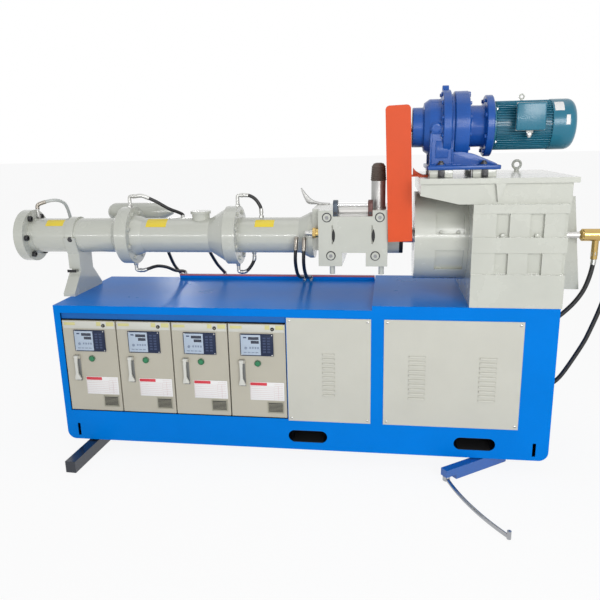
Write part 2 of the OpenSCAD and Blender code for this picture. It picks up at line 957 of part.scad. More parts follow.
module machine_bolts() {
    color("dimgrey") in_frame() {
        on_axis(head_x1)
            ring_of(head_bolt_n, head_pcd, 90)
                rotate([0, 90, 0]) {
                    cylinder(r = head_bolt_r, h = head_bolt_t);
                    translate([0, 0, -head_t / 2 + over])
                        cylinder(r = head_shank_r, h = head_t / 2 - over);
                }
        on_axis(seam_2)
            ring_of(8, flange_pcd, 22.5)
                flange_bolt();
        on_axis(seam_3)
            ring_of(8, flange_pcd, 22.5)
                flange_bolt();
        for (pivot = [left_pivot, right_pivot])
            z_rod(arm_pin_r, arm_low, foot_gap, pivot[0], pivot[1]);
        for (spot = screw_spots())
            y_rod(big_screw_r, feed_front - cover_t - big_screw_t, feed_front - cover_t, spot[0], spot[1]);
    }
}

module flange_bolt() {
    rotate([0, 90, 0]) {
        translate([0, 0, rim_thick])
            cylinder(r = flange_bolt_r, h = flange_bolt_t, $fn = 6);
        translate([0, 0, -rim_thin * 0.9])
            cylinder(r = flange_shank_r, h = rim_thick + rim_thin * 0.9);
    }
}

function screw_spots() = [
    [feed_x + 0.21 * feed_l, feed_top - 0.23 * feed_up], [feed_x1 - 0.11 * feed_l, feed_top - 0.23 * feed_up],
    [feed_x + 0.26 * feed_l, feed_low + 0.41 * feed_down],
    [feed_x1 - 0.165 * feed_l, feed_low + 0.41 * feed_down]];

// Support leg: a waisted column with a saddle and a foot plate
module leg_outline() {
    foot_half = leg_foot / 2;
    top_half = leg_top_d / 2;
    rise = axis_h - top_z;
    difference() {
        polygon([[-foot_half, top_z], [foot_half, top_z], [foot_half, top_z + leg_plate_t],
            [top_half, axis_h - rise * 0.62], [top_half, axis_h - rise * 0.3], [saddle_r, axis_h],
            [-saddle_r, axis_h], [-top_half, axis_h - rise * 0.3],
            [-top_half, axis_h - rise * 0.62], [-foot_half, top_z + leg_plate_t]]);
        translate([0, axis_h])
            circle(r = barrel_d / 2 + touch_gap);
    }
}

module support_leg() {
    color("gainsboro") in_frame() {
        difference() {
            translate([leg_x0, 0, 0])
                rotate([90, 0, 90])
                    linear_extrude(leg_w)
                        leg_outline();
            block([leg_x0 - over, -leg_foot / 2, leg_slot_z],
                [leg_x0 + leg_slot_w, -leg_top_d / 3, leg_slot_z + leg_slot_h]);
        }
        difference() {
            x_rod(strap_r, leg_x0 + (leg_w - strap_w) / 2, leg_x0 + (leg_w + strap_w) / 2, 0, axis_h);
            x_rod(barrel_d / 2 + touch_gap, leg_x0 - over, leg_x0 + leg_w + over, 0, axis_h);
            block([leg_x0 - over, -head_d, 0], [leg_x0 + leg_w + over, head_d, axis_h]);
        }
    }
}

// Feed section
module feed_housing() {
    throat_x = roll_x0 + (roll_l - throat_l) / 2;
    color("lightgrey") in_frame()
        difference() {
            union() {
                block([feed_x, feed_front, feed_low + block_h], [feed_x1, -feed_front, feed_top]);
                feed_feet(feed_front, -feed_front);
                for (x = [feed_x + feed_l * 0.27, feed_x1 - feed_l * 0.08])
                    z_rod(screw_head_r * 2, feed_low - block_h * 0.7, feed_low, x, feed_front + block_h / 2);
                x_rod(barrel_d / 2, feed_x1, feed_x1 + neck_pipe_l, 0, axis_h);
            }
            x_rod(bore_r, feed_x - over, feed_x1, 0, axis_h);
            x_rod(quill_r, feed_x1 - touch_gap, feed_x1 + neck_pipe_l + over, 0, axis_h);
            x_rod(roll_r + roll_gap, roll_x0 - roll_gap, roll_x0 + roll_l + roll_gap, roll_y, roll_z);
            block([roll_x0 - roll_gap, feed_front - over, roll_z],
                [roll_x0 + roll_l + roll_gap, roll_y + roll_r + roll_gap, feed_top + over]);
            block([throat_x, -throat_w / 2, axis_h], [throat_x + throat_l, throat_w / 2, feed_top + over]);
            x_rod(roll_shaft_r + touch_gap, feed_x + feed_l / 8, feed_x1 + over, roll_y, roll_z);
            x_rod(roll_shaft_r * 2, feed_x1, feed_x1 + neck_pipe_l + over, roll_y, roll_z);
            block([feed_x - over, feed_front - over, feed_low],
                [feed_x + corner_w, feed_front + corner_d, feed_top + over]);
            bracket_notch();
        }
}

// The four-cornered feet of the housing and of its cover
module feed_feet(y0, y1) {
    block([feed_x + corner_w, y0, feed_low], [feed_x + feed_l * foot_inner_share[0], y1, feed_low + block_h]);
    block([feed_x + feed_l * foot_inner_share[1], y0, feed_low], [feed_x1, y1, feed_low + block_h]);
}

module bracket_notch() {
    block([bracket_x0, feed_front - cover_t - over, feed_top - notch_h],
        [bracket_x1 + bracket_t, feed_front + bracket_d, feed_top + over]);
}

module feed_cover() {
    color("gainsboro") in_frame() {
        difference() {
            block([feed_x + corner_w, feed_front - cover_t, feed_low + block_h],
                [feed_x1, feed_front, feed_top]);
            for (x = [feed_x + cover_slot_x, feed_x1 - cover_slot_x * 0.76])
                block([x, feed_front - cover_t - over, axis_h - cover_slot_h / 5],
                    [x + cover_slot_w, feed_front - cover_t / 4, axis_h + cover_slot_h * 0.8]);
            bracket_notch();
        }
        feed_feet(feed_front - cover_t, feed_front);
    }
}

module feed_roll() {
    color("slategrey") in_frame() {
        x_rod(roll_r, roll_x0, roll_x0 + roll_l, roll_y, roll_z);
        x_rod(roll_shaft_r, feed_x + feed_l / 8 + over, roll_x0, roll_y, roll_z);
        x_rod(roll_shaft_r, roll_x0 + roll_l, sprocket_x, roll_y, roll_z);
        sprocket(roll_sprocket_r, roll_z);
    }
}

module sprocket(r, z) {
    teeth = floor(r / 3);
    translate([sprocket_x, drive_y, z])
        rotate([0, 90, 0])
            linear_extrude(sprocket_w)
                difference() {
                    circle(r = r);
                    for (i = [0 : teeth - 1])
                        rotate((i + 0.5) * 360 / teeth)
                            translate([r, 0])
                                circle(r = sprocket_w / 4);
                }
}

module roll_bracket() {
    z0 = feed_top - notch_h;
    z1 = z0 + bracket_h;
    color("darkslategrey") in_frame() {
        for (x = [bracket_x0, bracket_x1])
            block([x, feed_front - cover_t, z0], [x + bracket_t, feed_front + bracket_d, z1]);
        x_rod(bracket_t / 2, bracket_x0 + bracket_t, bracket_x1, feed_front + bracket_t, z1 - bracket_t);
        strip_guide();
    }
}

// A curved strip that leads the rubber into the throat
module strip_guide() {
    y_slab(guide_y + guide_w, guide_w) {
        translate([feed_x + guide_r * 0.3, feed_top + guide_r])
            intersection() {
                difference() {
                    circle(r = guide_r);
                    circle(r = guide_r - guide_t);
                }
                polygon([[0, 0], 2 * guide_r * [cos(185), sin(185)], -2 * guide_r * [1, 1],
                    2 * guide_r * [cos(263), sin(263)]]);
            }
        translate([feed_x, feed_top])
            square([guide_w, guide_t]);
    }
}

module feed_cylinder() {
    x = feed_x1 - cylinder_x_in;
    y = feed_front + 2.6 * cylinder_r;
    z = feed_top + cylinder_h;
    color("silver") in_frame() {
        z_rod(cylinder_r, feed_top, z, x, y);
        z_rod(cylinder_r * 1.03, z, z + cylinder_cap_h * 0.8, x, y);
        z_rod(cylinder_r * 0.4, z + cylinder_cap_h * 0.8, z + cylinder_cap_h, x, y);
    }
}

// Bell and gearbox
module gearbox_bell() {
    color("gainsboro") in_frame()
        difference() {
            x_rod(bell_r, bell_x, gearbox_x, 0, axis_h);
            x_rod(bell_r - bell_t, bell_x + gear_wall, gearbox_x + over, 0, axis_h);
            x_rod(bearing_r, bell_x - over, bell_x + gear_wall + over, 0, axis_h);
            difference() {
                for (z = [axis_h + bell_r * 0.16, axis_h - bell_r * 0.65])
                    block([bell_x + bell_l * 0.39, -bell_r - over, z],
                        [bell_x + bell_l * 0.92, -bell_r * 0.4, z + bell_r * 0.46]);
                x_rod(bell_r - bell_t * 0.75, bell_x - over, gearbox_x, 0, axis_h);
            }
        }
}

module gearbox_housing() {
    x1 = gearbox_x1;
    color("gainsboro") in_frame()
        difference() {
            union() {
                block([gearbox_x, -gearbox_y, deck_z], [x1, gearbox_y, gearbox_z1]);
                front_frame();
            }
            block([gearbox_x + gear_wall, -gearbox_y + gear_wall, deck_z + gear_wall],
                [cover_x0 - gear_wall, gearbox_y - gear_wall, gearbox_z1 - gear_wall]);
            block([cover_x0, cover_y0, deck_z - over], [x1 + over, gearbox_y + over, gearbox_z1 + over]);
            x_rod(bearing_r, gearbox_x - over, cover_x0 + over, 0, axis_h);
            x_rod(quill_r + slack, gearbox_x - over, x1 + over, 0, axis_h);
            x_rod(pinion_bearing_r, gearbox_x + gear_wall / 2, cover_x0 + over, gear_back, axis_h);
        }
}

// Ribs that stand on the front of the gearbox: a foot, two bands and three posts
module front_frame() {
    y0 = front_y;
    y1 = -gearbox_y + over;
    post_w = gearbox_l * 0.25;
    block([gearbox_x, y0, deck_z], [gearbox_x1, y1, deck_z + gearbox_h * 0.33]);
    block([gearbox_x, y0, deck_z + gearbox_h * 0.54], [gearbox_x1, y1, deck_z + gearbox_h * 0.69]);
    block([gearbox_x, y0, gearbox_z1 - gearbox_h * 0.085], [gearbox_x1, y1, gearbox_z1]);
    for (x = [gearbox_x, gearbox_x + gearbox_l * 0.39, gearbox_x1 - post_w])
        block([x, y0 + rib_t / 4, deck_z],
            [x + (x == gearbox_x ? post_w : gearbox_l * 0.21), y1, gearbox_z1]);
}

module upper_box() {
    x0 = lid_x0 + sheet_t;
    y1 = gearbox_y + sheet_t;
    slope_x = gearbox_x - bell_l / 4;
    lift = bell_r - (gearbox_z1 - axis_h) + sheet_t;
    color("gainsboro") in_frame()
        difference() {
            union() {
                block([slope_x, -y1, gearbox_z1], [lid_x0 + lid_l - rib_t, y1, upper_z1]);
                block([x0, -y1, gearbox_z1 + lift], [slope_x, y1, upper_z1]);
                y_slab(y1, 2 * y1)
                    polygon([[x0, gearbox_z1 + lift], [slope_x, gearbox_z1],
                        [slope_x, gearbox_z1 + lift]]);
                y_slab(-y1 + over, rib_t - sheet_t + over)
                    polygon([[gearbox_x + gearbox_l * 0.22, upper_z1],
                        [gearbox_x + gearbox_l * 0.33, upper_z1],
                        [gearbox_x + gearbox_l * 0.25, gearbox_z1 + upper_h / 8]]);
            }
            block([x0 + gear_wall / 2, -y1 + gear_wall / 2, gearbox_z1 - over],
                [lid_x0 + lid_l - rib_t - gear_wall / 2, y1 - gear_wall / 2, upper_z1 + over]);
        }
}

module gearbox_lid() {
    color("lightgrey") in_frame()
        difference() {
            block([lid_x0, front_y, upper_z1], [lid_x0 + lid_l, back_y, lid_z1]);
            for (x = mount_x(), y = mount_y())
                z_rod(stud_r + slack, upper_z1 - over, lid_z1 + over, x, y);
            for (spot = eye_spots())
                z_rod(eye_r + slack, upper_z1 - over, lid_z1 + over, spot[0], spot[1]);
        }
}

module belt_cover() {
    y1 = gearbox_y - over;
    z1 = gearbox_z1 - over;
    lean = (cover_x1 - gearbox_x1) * 0.3;
    color("darkgrey") in_frame()
        difference() {
            y_slab(y1, y1 - cover_y0 - over)
                polygon([[cover_x0 + over, deck_z], [cover_x1, deck_z],
                    [cover_x1 - lean, z1], [cover_x0 + over, z1]]);
            block([cover_x0 - over, cover_y0 + over + cover_wall, deck_z - over],
                [cover_x1 - lean - cover_wall, y1 - cover_wall, z1 - cover_wall]);
        }
}

// Gears and shafts
module bull_gear() {
    color("steelblue") in_frame()
        difference() {
            union() {
                x_gear(bull_teeth, gear_m, bull_x, bull_x + bull_w, 0, axis_h, 0);
                x_rod(quill_r, bell_x, gearbox_x1 - gear_wall, 0, axis_h);
                x_rod(union_r, gearbox_x1 - gear_wall, union_x0 + bearing_w, 0, axis_h);
            }
            x_rod(union_r / 3, gearbox_x1 - gear_wall, union_x0 + bearing_w + over, 0, axis_h);
        }
}

module input_shaft() {
    x0 = gearbox_x + gear_wall / 2 + over;
    color("steelblue") in_frame() {
        x_gear(pinion_teeth, gear_m, bull_x, bull_x + bull_w, gear_back, axis_h, pinion_turn());
        x_rod(pinion_shaft_r, x0, belt_x + pulley_w / 2, gear_back, axis_h);
        pulley(gear_pulley_r, axis_h);
    }
}

// Half a tooth of turn puts a gap of the pinion in front of a tooth of the bull gear
function pinion_turn() = let (quarter = bull_teeth / 4)
    -90 + 180 / pinion_teeth + 360 / pinion_teeth * (quarter - floor(quarter));

module pulley(r, z) {
    groove = pulley_w / 10;
    translate([belt_x - pulley_w / 2, gear_back, z])
        rotate([0, 90, 0])
            difference() {
                cylinder(r = r, h = pulley_w);
                for (i = [0 : 2])
                    translate([0, 0, groove + i * groove * 3])
                        difference() {
                            cylinder(r = r + over, h = groove * 2);
                            translate([0, 0, -over])
                                cylinder(r = r - groove_d, h = groove * 2 + 2 * over);
                        }
            }
}

module bearing(x, y, r_in, r_out) {
    difference() {
        x_rod(r_out, x, x + bearing_w, y, axis_h);
        x_rod(r_in + touch_gap, x - over, x + bearing_w + over, y, axis_h);
    }
}

module gear_bearings() {
    wall_x = cover_x0 - gear_wall;
    color("silver") in_frame() {
        bearing(bell_x - over, 0, quill_r, bearing_r - touch_gap);
        bearing(gearbox_x, 0, quill_r, bearing_r - touch_gap);
        bearing(wall_x - bearing_w / 3, 0, quill_r, bearing_r - touch_gap);
        bearing(gearbox_x + gear_wall / 2, gear_back, pinion_shaft_r, pinion_bearing_r - touch_gap);
        bearing(wall_x - bearing_w / 3, gear_back, pinion_shaft_r, pinion_bearing_r - touch_gap);
    }
}

module drive_belts() {
    r1 = motor_pulley_r - groove_d + slack;
    r2 = gear_pulley_r - groove_d + slack;
    color("black") in_frame()
        for (i = [0 : 2])
            translate([belt_x - pulley_w / 2 + pulley_w / 10 * (1.25 + i * 3), 0, 0])
                rotate([90, 0, 90])
                    linear_extrude(pulley_w / 10 * 1.5)
                        difference() {
                            loop_outline(gear_back, main_z, r1 + groove_d, axis_h, r2 + groove_d);
                            loop_outline(gear_back, main_z, r1, axis_h, r2);
                        }
}

module loop_outline(y, low_z, low_r, high_z, high_r) {
    hull() {
        translate([y, low_z])
            circle(r = low_r);
        translate([y, high_z])
            circle(r = high_r);
    }
}

module main_motor() {
    floor_z = shelf_z + ledge_t;
    x1 = main_x0 + main_motor_l;
    color("steelblue") in_frame()
        difference() {
            union() {
                x_rod(main_motor_r, main_x0, x1, main_y, main_z);
                block([main_x0 + main_motor_l / 5, main_y - main_motor_r * 0.8, floor_z],
                    [x1 - main_motor_l / 5, main_y + main_motor_r * 0.8, main_z - main_motor_r / 2]);
            }
            x_rod(main_motor_r * 0.7, main_x0 + gear_wall, x1 - gear_wall, main_y, main_z);
            x_rod(pinion_shaft_r + touch_gap, x1 - gear_wall - over, x1 + over, main_y, main_z);
        }
}

module motor_rotor() {
    x1 = main_x0 + main_motor_l;
    color("dimgrey") in_frame() {
        x_rod(main_motor_r * 0.68, main_x0 + 2 * gear_wall, x1 - 2 * gear_wall, main_y, main_z);
        x_rod(pinion_shaft_r, x1 - 2 * gear_wall, belt_x + pulley_w / 2, main_y, main_z);
        pulley(motor_pulley_r, main_z);
    }
}

// Reducer and feed motor above the gearbox
neck_end = reducer_x0 + 47;
body_end = neck_end + 73;
ring_end = body_end + 33;
gap_end = ring_end + 14;
rim_end = gap_end + 58;
waist_end = rim_end + 67;
motor_x0 = waist_end + 30;
motor_x1 = motor_x0 + feed_motor_l;
stud_r = 8;
eye_r = 6;

function mount_x() = [reducer_x0 + 115, reducer_x0 + 285];
function mount_y() = [drive_y - ring_r + 38, drive_y + ring_r - 38];
function eye_spots() = [[lid_x0 + lid_l * 0.17, back_y * 0.7], [lid_x0 + lid_l * 0.78, back_y * 0.8]];

module reducer() {
    body_r = ring_r * 0.68;
    foot_x = reducer_x0 + 59;
    foot_x1 = foot_x + ring_r * 1.75;
    color("navy") in_frame()
        difference() {
            union() {
                x_rod(ring_r * 0.49, reducer_x0, neck_end, drive_y, drive_z);
                x_cone(ring_r * 0.6, body_r, neck_end - sheet_t, neck_end + rib_t, drive_y, drive_z);
                x_rod(body_r, neck_end + rib_t, body_end, drive_y, drive_z);
                x_rod(ring_r * 0.9, body_end, ring_end, drive_y, drive_z);
                z_rod(ring_r * 0.1, drive_z, drive_z + ring_r, ring_end - gear_wall, drive_y);
                x_rod(ring_r * 0.8, ring_end, gap_end, drive_y, drive_z);
                x_rod(ring_r * 0.86, gap_end, rim_end, drive_y, drive_z);
                x_rod(ring_r * 0.5, rim_end, waist_end, drive_y, drive_z);
                x_rod(ring_r * 0.74, waist_end, motor_x0, drive_y, drive_z);
                block([foot_x, drive_y - ring_r, foot_plate_z],
                    [foot_x1, drive_y + ring_r, foot_plate_z + foot_plate_t / 2]);
                for (y = [drive_y - body_r, drive_y + body_r - gear_wall])
                    block([foot_x + rib_t, y, foot_plate_z], [ring_end, y + gear_wall, drive_z]);
                block([body_end - gear_wall, drive_y - body_r, foot_plate_z],
                    [ring_end, drive_y + body_r, drive_z]);
                y_slab(drive_y + body_r, 2 * body_r)
                    polygon([[body_end, foot_plate_z], [foot_x1 - rib_t, foot_plate_z],
                        [foot_x1 - rib_t, foot_plate_z + foot_plate_t / 2],
                        [ring_end, drive_z - ring_r * 0.72],
                        [body_end, drive_z - ring_r * 0.72]]);
            }
            x_rod(roll_shaft_r + slack, reducer_x0 - over, neck_end, drive_y, drive_z);
            x_rod(drive_rotor_r + slack, rim_end, motor_x0 + over, drive_y, drive_z);
            for (x = mount_x(), y = mount_y())
                z_rod(stud_r + slack, foot_plate_z - over, foot_plate_z + foot_plate_t, x, y);
        }
}

module reducer_shaft() {
    color("silver") in_frame() {
        x_rod(roll_shaft_r, sprocket_x + sprocket_w, neck_end - over, drive_y, drive_z);
        sprocket(drive_sprocket_r, drive_z);
    }
}

module drive_chain() {
    link = sprocket_w / 2;
    r1 = roll_sprocket_r + slack;
    r2 = drive_sprocket_r + slack;
    color("dimgrey") in_frame()
        translate([sprocket_x + sprocket_w / 4, 0, 0])
            rotate([90, 0, 90])
                linear_extrude(link)
                    difference() {
                        loop_outline(drive_y, roll_z, r1 + link, drive_z, r2 + link);
                        loop_outline(drive_y, roll_z, r1, drive_z, r2);
                    }
}

module guard_outline(inset) {
    r = guard_w / 6;
    translate([inset, inset])
        square([guard_w - 2 * inset, guard_h - r - inset]);
    translate([r, guard_h - r])
        circle(r = r - inset);
    translate([guard_w - r, guard_h - r])
        circle(r = r - inset);
    translate([r, guard_h - r - inset])
        square([guard_w - 2 * r, r]);
}

module guard_block(inset) {
    y0 = drive_y - guard_d / 2 + inset;
    translate([guard_x0, 0, guard_z0])
        rotate([0, -guard_tilt, 0])
            y_slab(y0 + guard_d - 2 * inset, guard_d - 2 * inset)
                guard_outline(inset);
}

module chain_guard() {
    color("orangered") in_frame()
        difference() {
            union() {
                difference() {
                    guard_block(0);
                    guard_block(guard_wall);
                }
                block([guard_x0 + guard_w - rib_t * 2, drive_y - guard_d / 3, lid_z1],
                    [lid_x0 + 2 * rib_t, drive_y, lid_z1 + guard_wall * 2]);
            }
            guard_block(guard_wall);
            block([feed_x, feed_front - 2 * cover_t, 0], [feed_x1 + over, -feed_front, feed_top + over]);
            x_rod(barrel_d / 2 + 2 * over, feed_x1 - over, bell_x - rib_t, 0, axis_h);
            x_rod(bearing_r + 2 * over, feed_x1 + neck_pipe_l, bell_x + over, 0, axis_h);
            x_rod(roll_shaft_r + 2 * over, feed_x1 - neck_l, sprocket_x, roll_y, roll_z);
            x_rod(roll_shaft_r + 2 * over, sprocket_x, reducer_x0 + over, drive_y, drive_z);
        }
}

module feed_motor() {
    fins = 28;
    cowl_x = motor_x1 - 100;
    box_x = motor_x0 + feed_motor_r * 0.76;
    color("cadetblue") in_frame()
        difference() {
            union() {
                x_rod(feed_motor_r * 0.9, motor_x0, cowl_x, drive_y, drive_z);
                for (i = [0 : fins - 1])
                    translate([motor_x0 + rib_t, drive_y, drive_z])
                        rotate([(i + 0.5) * 360 / fins, 0, 0])
                            translate([0, -sheet_t / 2, 0])
                                cube([cowl_x - motor_x0 - rib_t, sheet_t, feed_motor_r]);
                x_rod(feed_motor_r, motor_x0, motor_x0 + rib_t, drive_y, drive_z);
                x_rod(feed_motor_r * 1.02, cowl_x, motor_x1 - rib_t, drive_y, drive_z);
                x_cone(feed_motor_r * 1.02, feed_motor_r * 0.75, motor_x1 - rib_t, motor_x1,
                    drive_y, drive_z);
                z_rod(2 * eye_r, drive_z, drive_z + feed_motor_r, motor_x0 + feed_motor_l * 0.36, drive_y);
                block([box_x, drive_y - feed_motor_r * 1.55, drive_z - feed_motor_r * 0.25],
                    [box_x + feed_motor_r * 1.15, drive_y - feed_motor_r * 0.5,
                        drive_z + feed_motor_r * 0.85]);
            }
            x_rod(feed_motor_r * 0.65, motor_x0 + rib_t, cowl_x - rib_t, drive_y, drive_z);
            x_rod(feed_motor_r * 0.92, cowl_x, motor_x1 - rib_t, drive_y, drive_z);
            x_rod(drive_rotor_r + slack, motor_x0 - over, cowl_x + over, drive_y, drive_z);
        }
}

module feed_motor_rotor() {
    cowl_x = motor_x1 - 100;
    color("silver") in_frame() {
        x_rod(drive_rotor_r, rim_end + sheet_t, motor_x0 + 2 * rib_t, drive_y, drive_z);
        x_rod(feed_motor_r * 0.62, motor_x0 + 2 * rib_t, cowl_x - 2 * rib_t, drive_y, drive_z);
        x_rod(drive_rotor_r, cowl_x - 2 * rib_t, cowl_x + 3 * rib_t + sheet_t, drive_y, drive_z);
        translate([cowl_x + rib_t, drive_y, drive_z])
            for (i = [0 : 6])
                rotate([i * 360 / 7, 0, 0])
                    translate([0, -sheet_t / 2, drive_rotor_r / 2])
                        cube([2 * rib_t, sheet_t, feed_motor_r * 0.7]);
    }
}

module motor_mounts() {
    block_l = 92;
    block_w = 60;
    color("lightgrey") in_frame()
        for (x = mount_x(), y = mount_y()) {
            difference() {
                block([x - block_l / 2, y - block_w / 2, lid_z1],
                    [x + block_l / 2, y + block_w / 2, foot_plate_z]);
                z_rod(stud_r + slack, lid_z1 - over, foot_plate_z + over, x, y);
            }
            z_rod(stud_r, upper_z1, foot_plate_z + foot_plate_t, x, y);
            translate([x, y, foot_plate_z + foot_plate_t / 2])
                cylinder(r = stud_r * 1.8, h = stud_r, $fn = 6);
        }
}

module lifting_eye(x, y, z, ring_r_in) {
    translate([x, y, z + 2.4 * ring_r_in])
        rotate([90, 0, 0])
            rotate_extrude()
                translate([1.5 * ring_r_in, 0])
                    circle(r = ring_r_in * 0.5);
    z_rod(ring_r_in * 0.9, z, z + ring_r_in * 0.7, x, y);
}

module lifting_eyes() {
    color("dimgrey") in_frame() {
        for (spot = eye_spots()) {
            lifting_eye(spot[0], spot[1], lid_z1, 2 * eye_r);
            z_rod(eye_r, upper_z1, lid_z1, spot[0], spot[1]);
        }
        lifting_eye(motor_x0 + feed_motor_l * 0.36, drive_y, drive_z + feed_motor_r, eye_r);
    }
}

// Rotary union on the end of the screw's quill
module rotary_union() {
    elbow_x = union_x1 - union_body_r * 0.6;
    color("goldenrod") in_frame()
        difference() {
            union() {
                x_cone(union_body_r * 0.75, union_body_r, union_x0, union_x0 + rib_t / 2, 0, axis_h);
                x_rod(union_body_r, union_x0 + rib_t / 2, union_x1, 0, axis_h);
                z_rod(union_r, axis_h - elbow_drop, axis_h, elbow_x, 0);
            }
            x_rod(union_r + touch_gap, union_x0 - over, union_x0 + bearing_w + over, 0, axis_h);
        }
}

// Hoses: one swept tube for each, from fitting to fitting
hose_paths = [
    [[-1301, 0, 1130], [-1301, 0, 1140], [-1288, 6, 1154], [-1230, 34, 1168],
        [-1206, 80, 1152], [-1203, 110, 1115], [-1203, 128, 1060], [-1203, 126, 1018],
        [-1203, 112, 1000], [-1203, 100, 1000]],
    [[-798, 0, 1186], [-788, 0, 1186], [-760, 4, 1188], [-700, 18, 1160],
        [-648, 46, 1122], [-612, 72, 1102], [-592, 86, 1088], [-590, 77, 1077], [-590, 67, 1067]],
    [[-790, 0, 826], [-780, 0, 826], [-756, 12, 833], [-728, 48, 838], [-706, 120, 818], [-690, 200, 784],
        [-676, 270, 768], [-671, 298, 755], [-671, 298, 745]],
    [[-680, 67, 933], [-680, 77, 923], [-684, 102, 896], [-690, 180, 822], [-697, 270, 768],
        [-698, 298, 755], [-698, 298, 745]],
    [[-470, 67, 933], [-470, 77, 923], [-468, 102, 896], [-460, 180, 826], [-452, 270, 768],
        [-453, 298, 755], [-453, 298, 745]],
    [[-264, 0, 1186], [-254, 0, 1186], [-230, 0, 1182], [-206, 0, 1166], [-187, 0, 1138],
        [-181, 0, 1114], [-181, 0, 1104]],
    [[-284, 0, 822], [-274, 0, 822], [-256, 0, 832], [-238, 0, 854], [-226, 0, 876], [-222, 0, 890],
        [-222, 0, 900]],
    [[-2, -104, 1000], [-2, -112, 1000], [-3, -120, 985], [-6, -122, 940], [-10, -100, 885],
        [-14, -20, 820], [-18, 110, 775], [-20, 230, 752], [-20, 266, 736], [-20, 266, 725]],
    [[36, -122, 1000], [36, -130, 1000], [36, -138, 985], [34, -142, 940], [30, -115, 880],
        [24, -20, 818], [18, 110, 775], [14, 230, 752], [14, 266, 736], [14, 266, 725]],
    [[1304, 0, 893], [1304, 0, 883], [1295, 0, 821], [1274, 0, 752], [1238, 0, 692], [1191, 0, 640],
        [1150, 0, 606], [1134, 0, 600], [stub_x1, 0, 600]],
    [[1320, 0, 1000], [1332, 0, 1000], [1352, 0, 996], [1372, 0, 970], [1382, 0, 920], [1382, 0, 850],
        [1372, 0, 760], [1351, 0, 670], [1318, 0, 566], [1290, 0, 494], [1226, 0, 370], [1190, 0, 318],
        [1150, 0, 286], [1134, 0, 280], [stub_x1, 0, 280]]];
hose_sides = 8;

function hose_r(i) = (i > 8 ? union_hose_d : hose_d) / 2;
function unit(v) = v / norm(v);
function tangent(path, k) = unit(path[min(k + 1, len(path) - 1)] - path[max(k - 1, 0)]);
function sideways(t) = unit(cross(t, abs(t[0]) > abs(t[1]) ? [0, 1, 0] : [1, 0, 0]));
function next_side(side, t) = unit(side - (side * t) * t);
function hose_sides_along(path, k) = k == 0 ? sideways(tangent(path, 0)) :
    next_side(hose_sides_along(path, k - 1), tangent(path, k));

module hose(path, r) {
    last = len(path) - 1;
    points = [for (k = [0 : last])
        let (t = tangent(path, k), a = hose_sides_along(path, k), b = cross(t, a))
            for (j = [0 : hose_sides - 1])
                path[k] + r * (cos(j * 360 / hose_sides) * a + sin(j * 360 / hose_sides) * b)];
    walls = [for (k = [0 : last - 1], j = [0 : hose_sides - 1])
        let (a = hose_sides * k + j, b = hose_sides * k + (j + 1) % hose_sides)
            each [[a, a + hose_sides, b], [b, a + hose_sides, b + hose_sides]]];
    caps = [for (j = [1 : hose_sides - 2])
        each [[0, j, j + 1], [hose_sides * last, hose_sides * last + j + 1, hose_sides * last + j]]];
    polyhedron(points, concat(walls, caps));
}

module hoses() {
    color("black") in_frame()
        for (i = [0 : len(hose_paths) - 1])
            hose(hose_paths[i], hose_r(i));
}

fit_r = 11;
slant_h = 12.25;
duct_x0 = seam_2 - 137;
duct_l = 230;
duct_r = 46;
duct_y = flange_d / 2 + duct_r + 2;
duct_z = axis_h + 92;

module hose_fittings() {
    color("silver") in_frame() {
        z_rod(fit_r, axis_h + collar_r, 1130, -1301, 0);
        y_rod(fit_r, barrel_d / 2, 100, -1203, axis_h);
        x_rod(fit_r * 2.2, feed_x + sheet_t, feed_x + corner_w, feed_front + fit_r * 2.3,
            axis_h + fit_r * 2.5);
        top_elbow(seam_2 + rim_thick / 4, -798);
        top_elbow(seam_3 + rim_thick / 2, -264);
        low_elbow(seam_2 + rim_thick / 3, -790, 826);
        low_elbow(seam_3 + rim_thick / 3, -284, 822);
        slanted_fitting(-590, -45, slant_h);
        z_rod(fit_r, axis_h + barrel_d / 2, 1104, -181, 0);
        z_rod(fit_r, 900, axis_h - barrel_d / 2, -222, 0);
        for (x = [-680, -470])
            slanted_fitting(x, 225, slant_h);
        y_rod(fit_r, -104, -hub_r * 0.9, -2, axis_h);
        y_rod(fit_r, -122, -hub_r + over / 2, 36, axis_h);
        for (z = [600, 280])
            x_rod(fit_r * 1.4, half_l, stub_x1, 0, z);
        x_rod(duct_r, duct_x0, duct_x0 + duct_l, duct_y, duct_z);
        x_cone(duct_r, fit_r, duct_x0 + duct_l, duct_x0 + 1.3 * duct_l,
            duct_y, duct_z);
        translate([duct_x0, duct_y, duct_z])
            sphere(r = duct_r);
        slanted_fitting(duct_x0 + fit_r, -atan2(duct_y, duct_z - axis_h),
            norm([duct_y, duct_z - axis_h]) - barrel_d / 2 - duct_r / 2);
    }
}

module top_elbow(x, end_x) {
    z_rod(fit_r, axis_h + flange_d / 2, axis_h + flange_d / 2 + 50, x, 0);
    x_rod(fit_r, x, end_x, 0, axis_h + flange_d / 2 + 50);
}

module low_elbow(x, end_x, z) {
    z_rod(fit_r, z, axis_h - flange_d / 2, x, 0);
    x_rod(fit_r, x, end_x, 0, z);
}

module slanted_fitting(x, turn, h) {
    translate([x, 0, axis_h])
        rotate([turn, 0, 0])
            translate([0, 0, barrel_d / 2])
                cylinder(r = fit_r, h = h);
}

// Swing arms under the front edge of the cabinet
module swing_arm(l, w, h) {
    difference() {
        union() {
            cylinder(r = w / 2, h = h);
            translate([0, -w / 2, 0])
                cube([l, w, h]);
        }
        translate([0, 0, -over])
            cylinder(r = arm_pin_r + arm_bore_gap, h = h + 2 * over);
    }
}

module arm_left() {
    color("darkslategrey") in_frame()
        translate([left_pivot[0], left_pivot[1], arm_low])
            rotate(left_angle)
                swing_arm(left_arm_l, arm_w, arm_h);
}

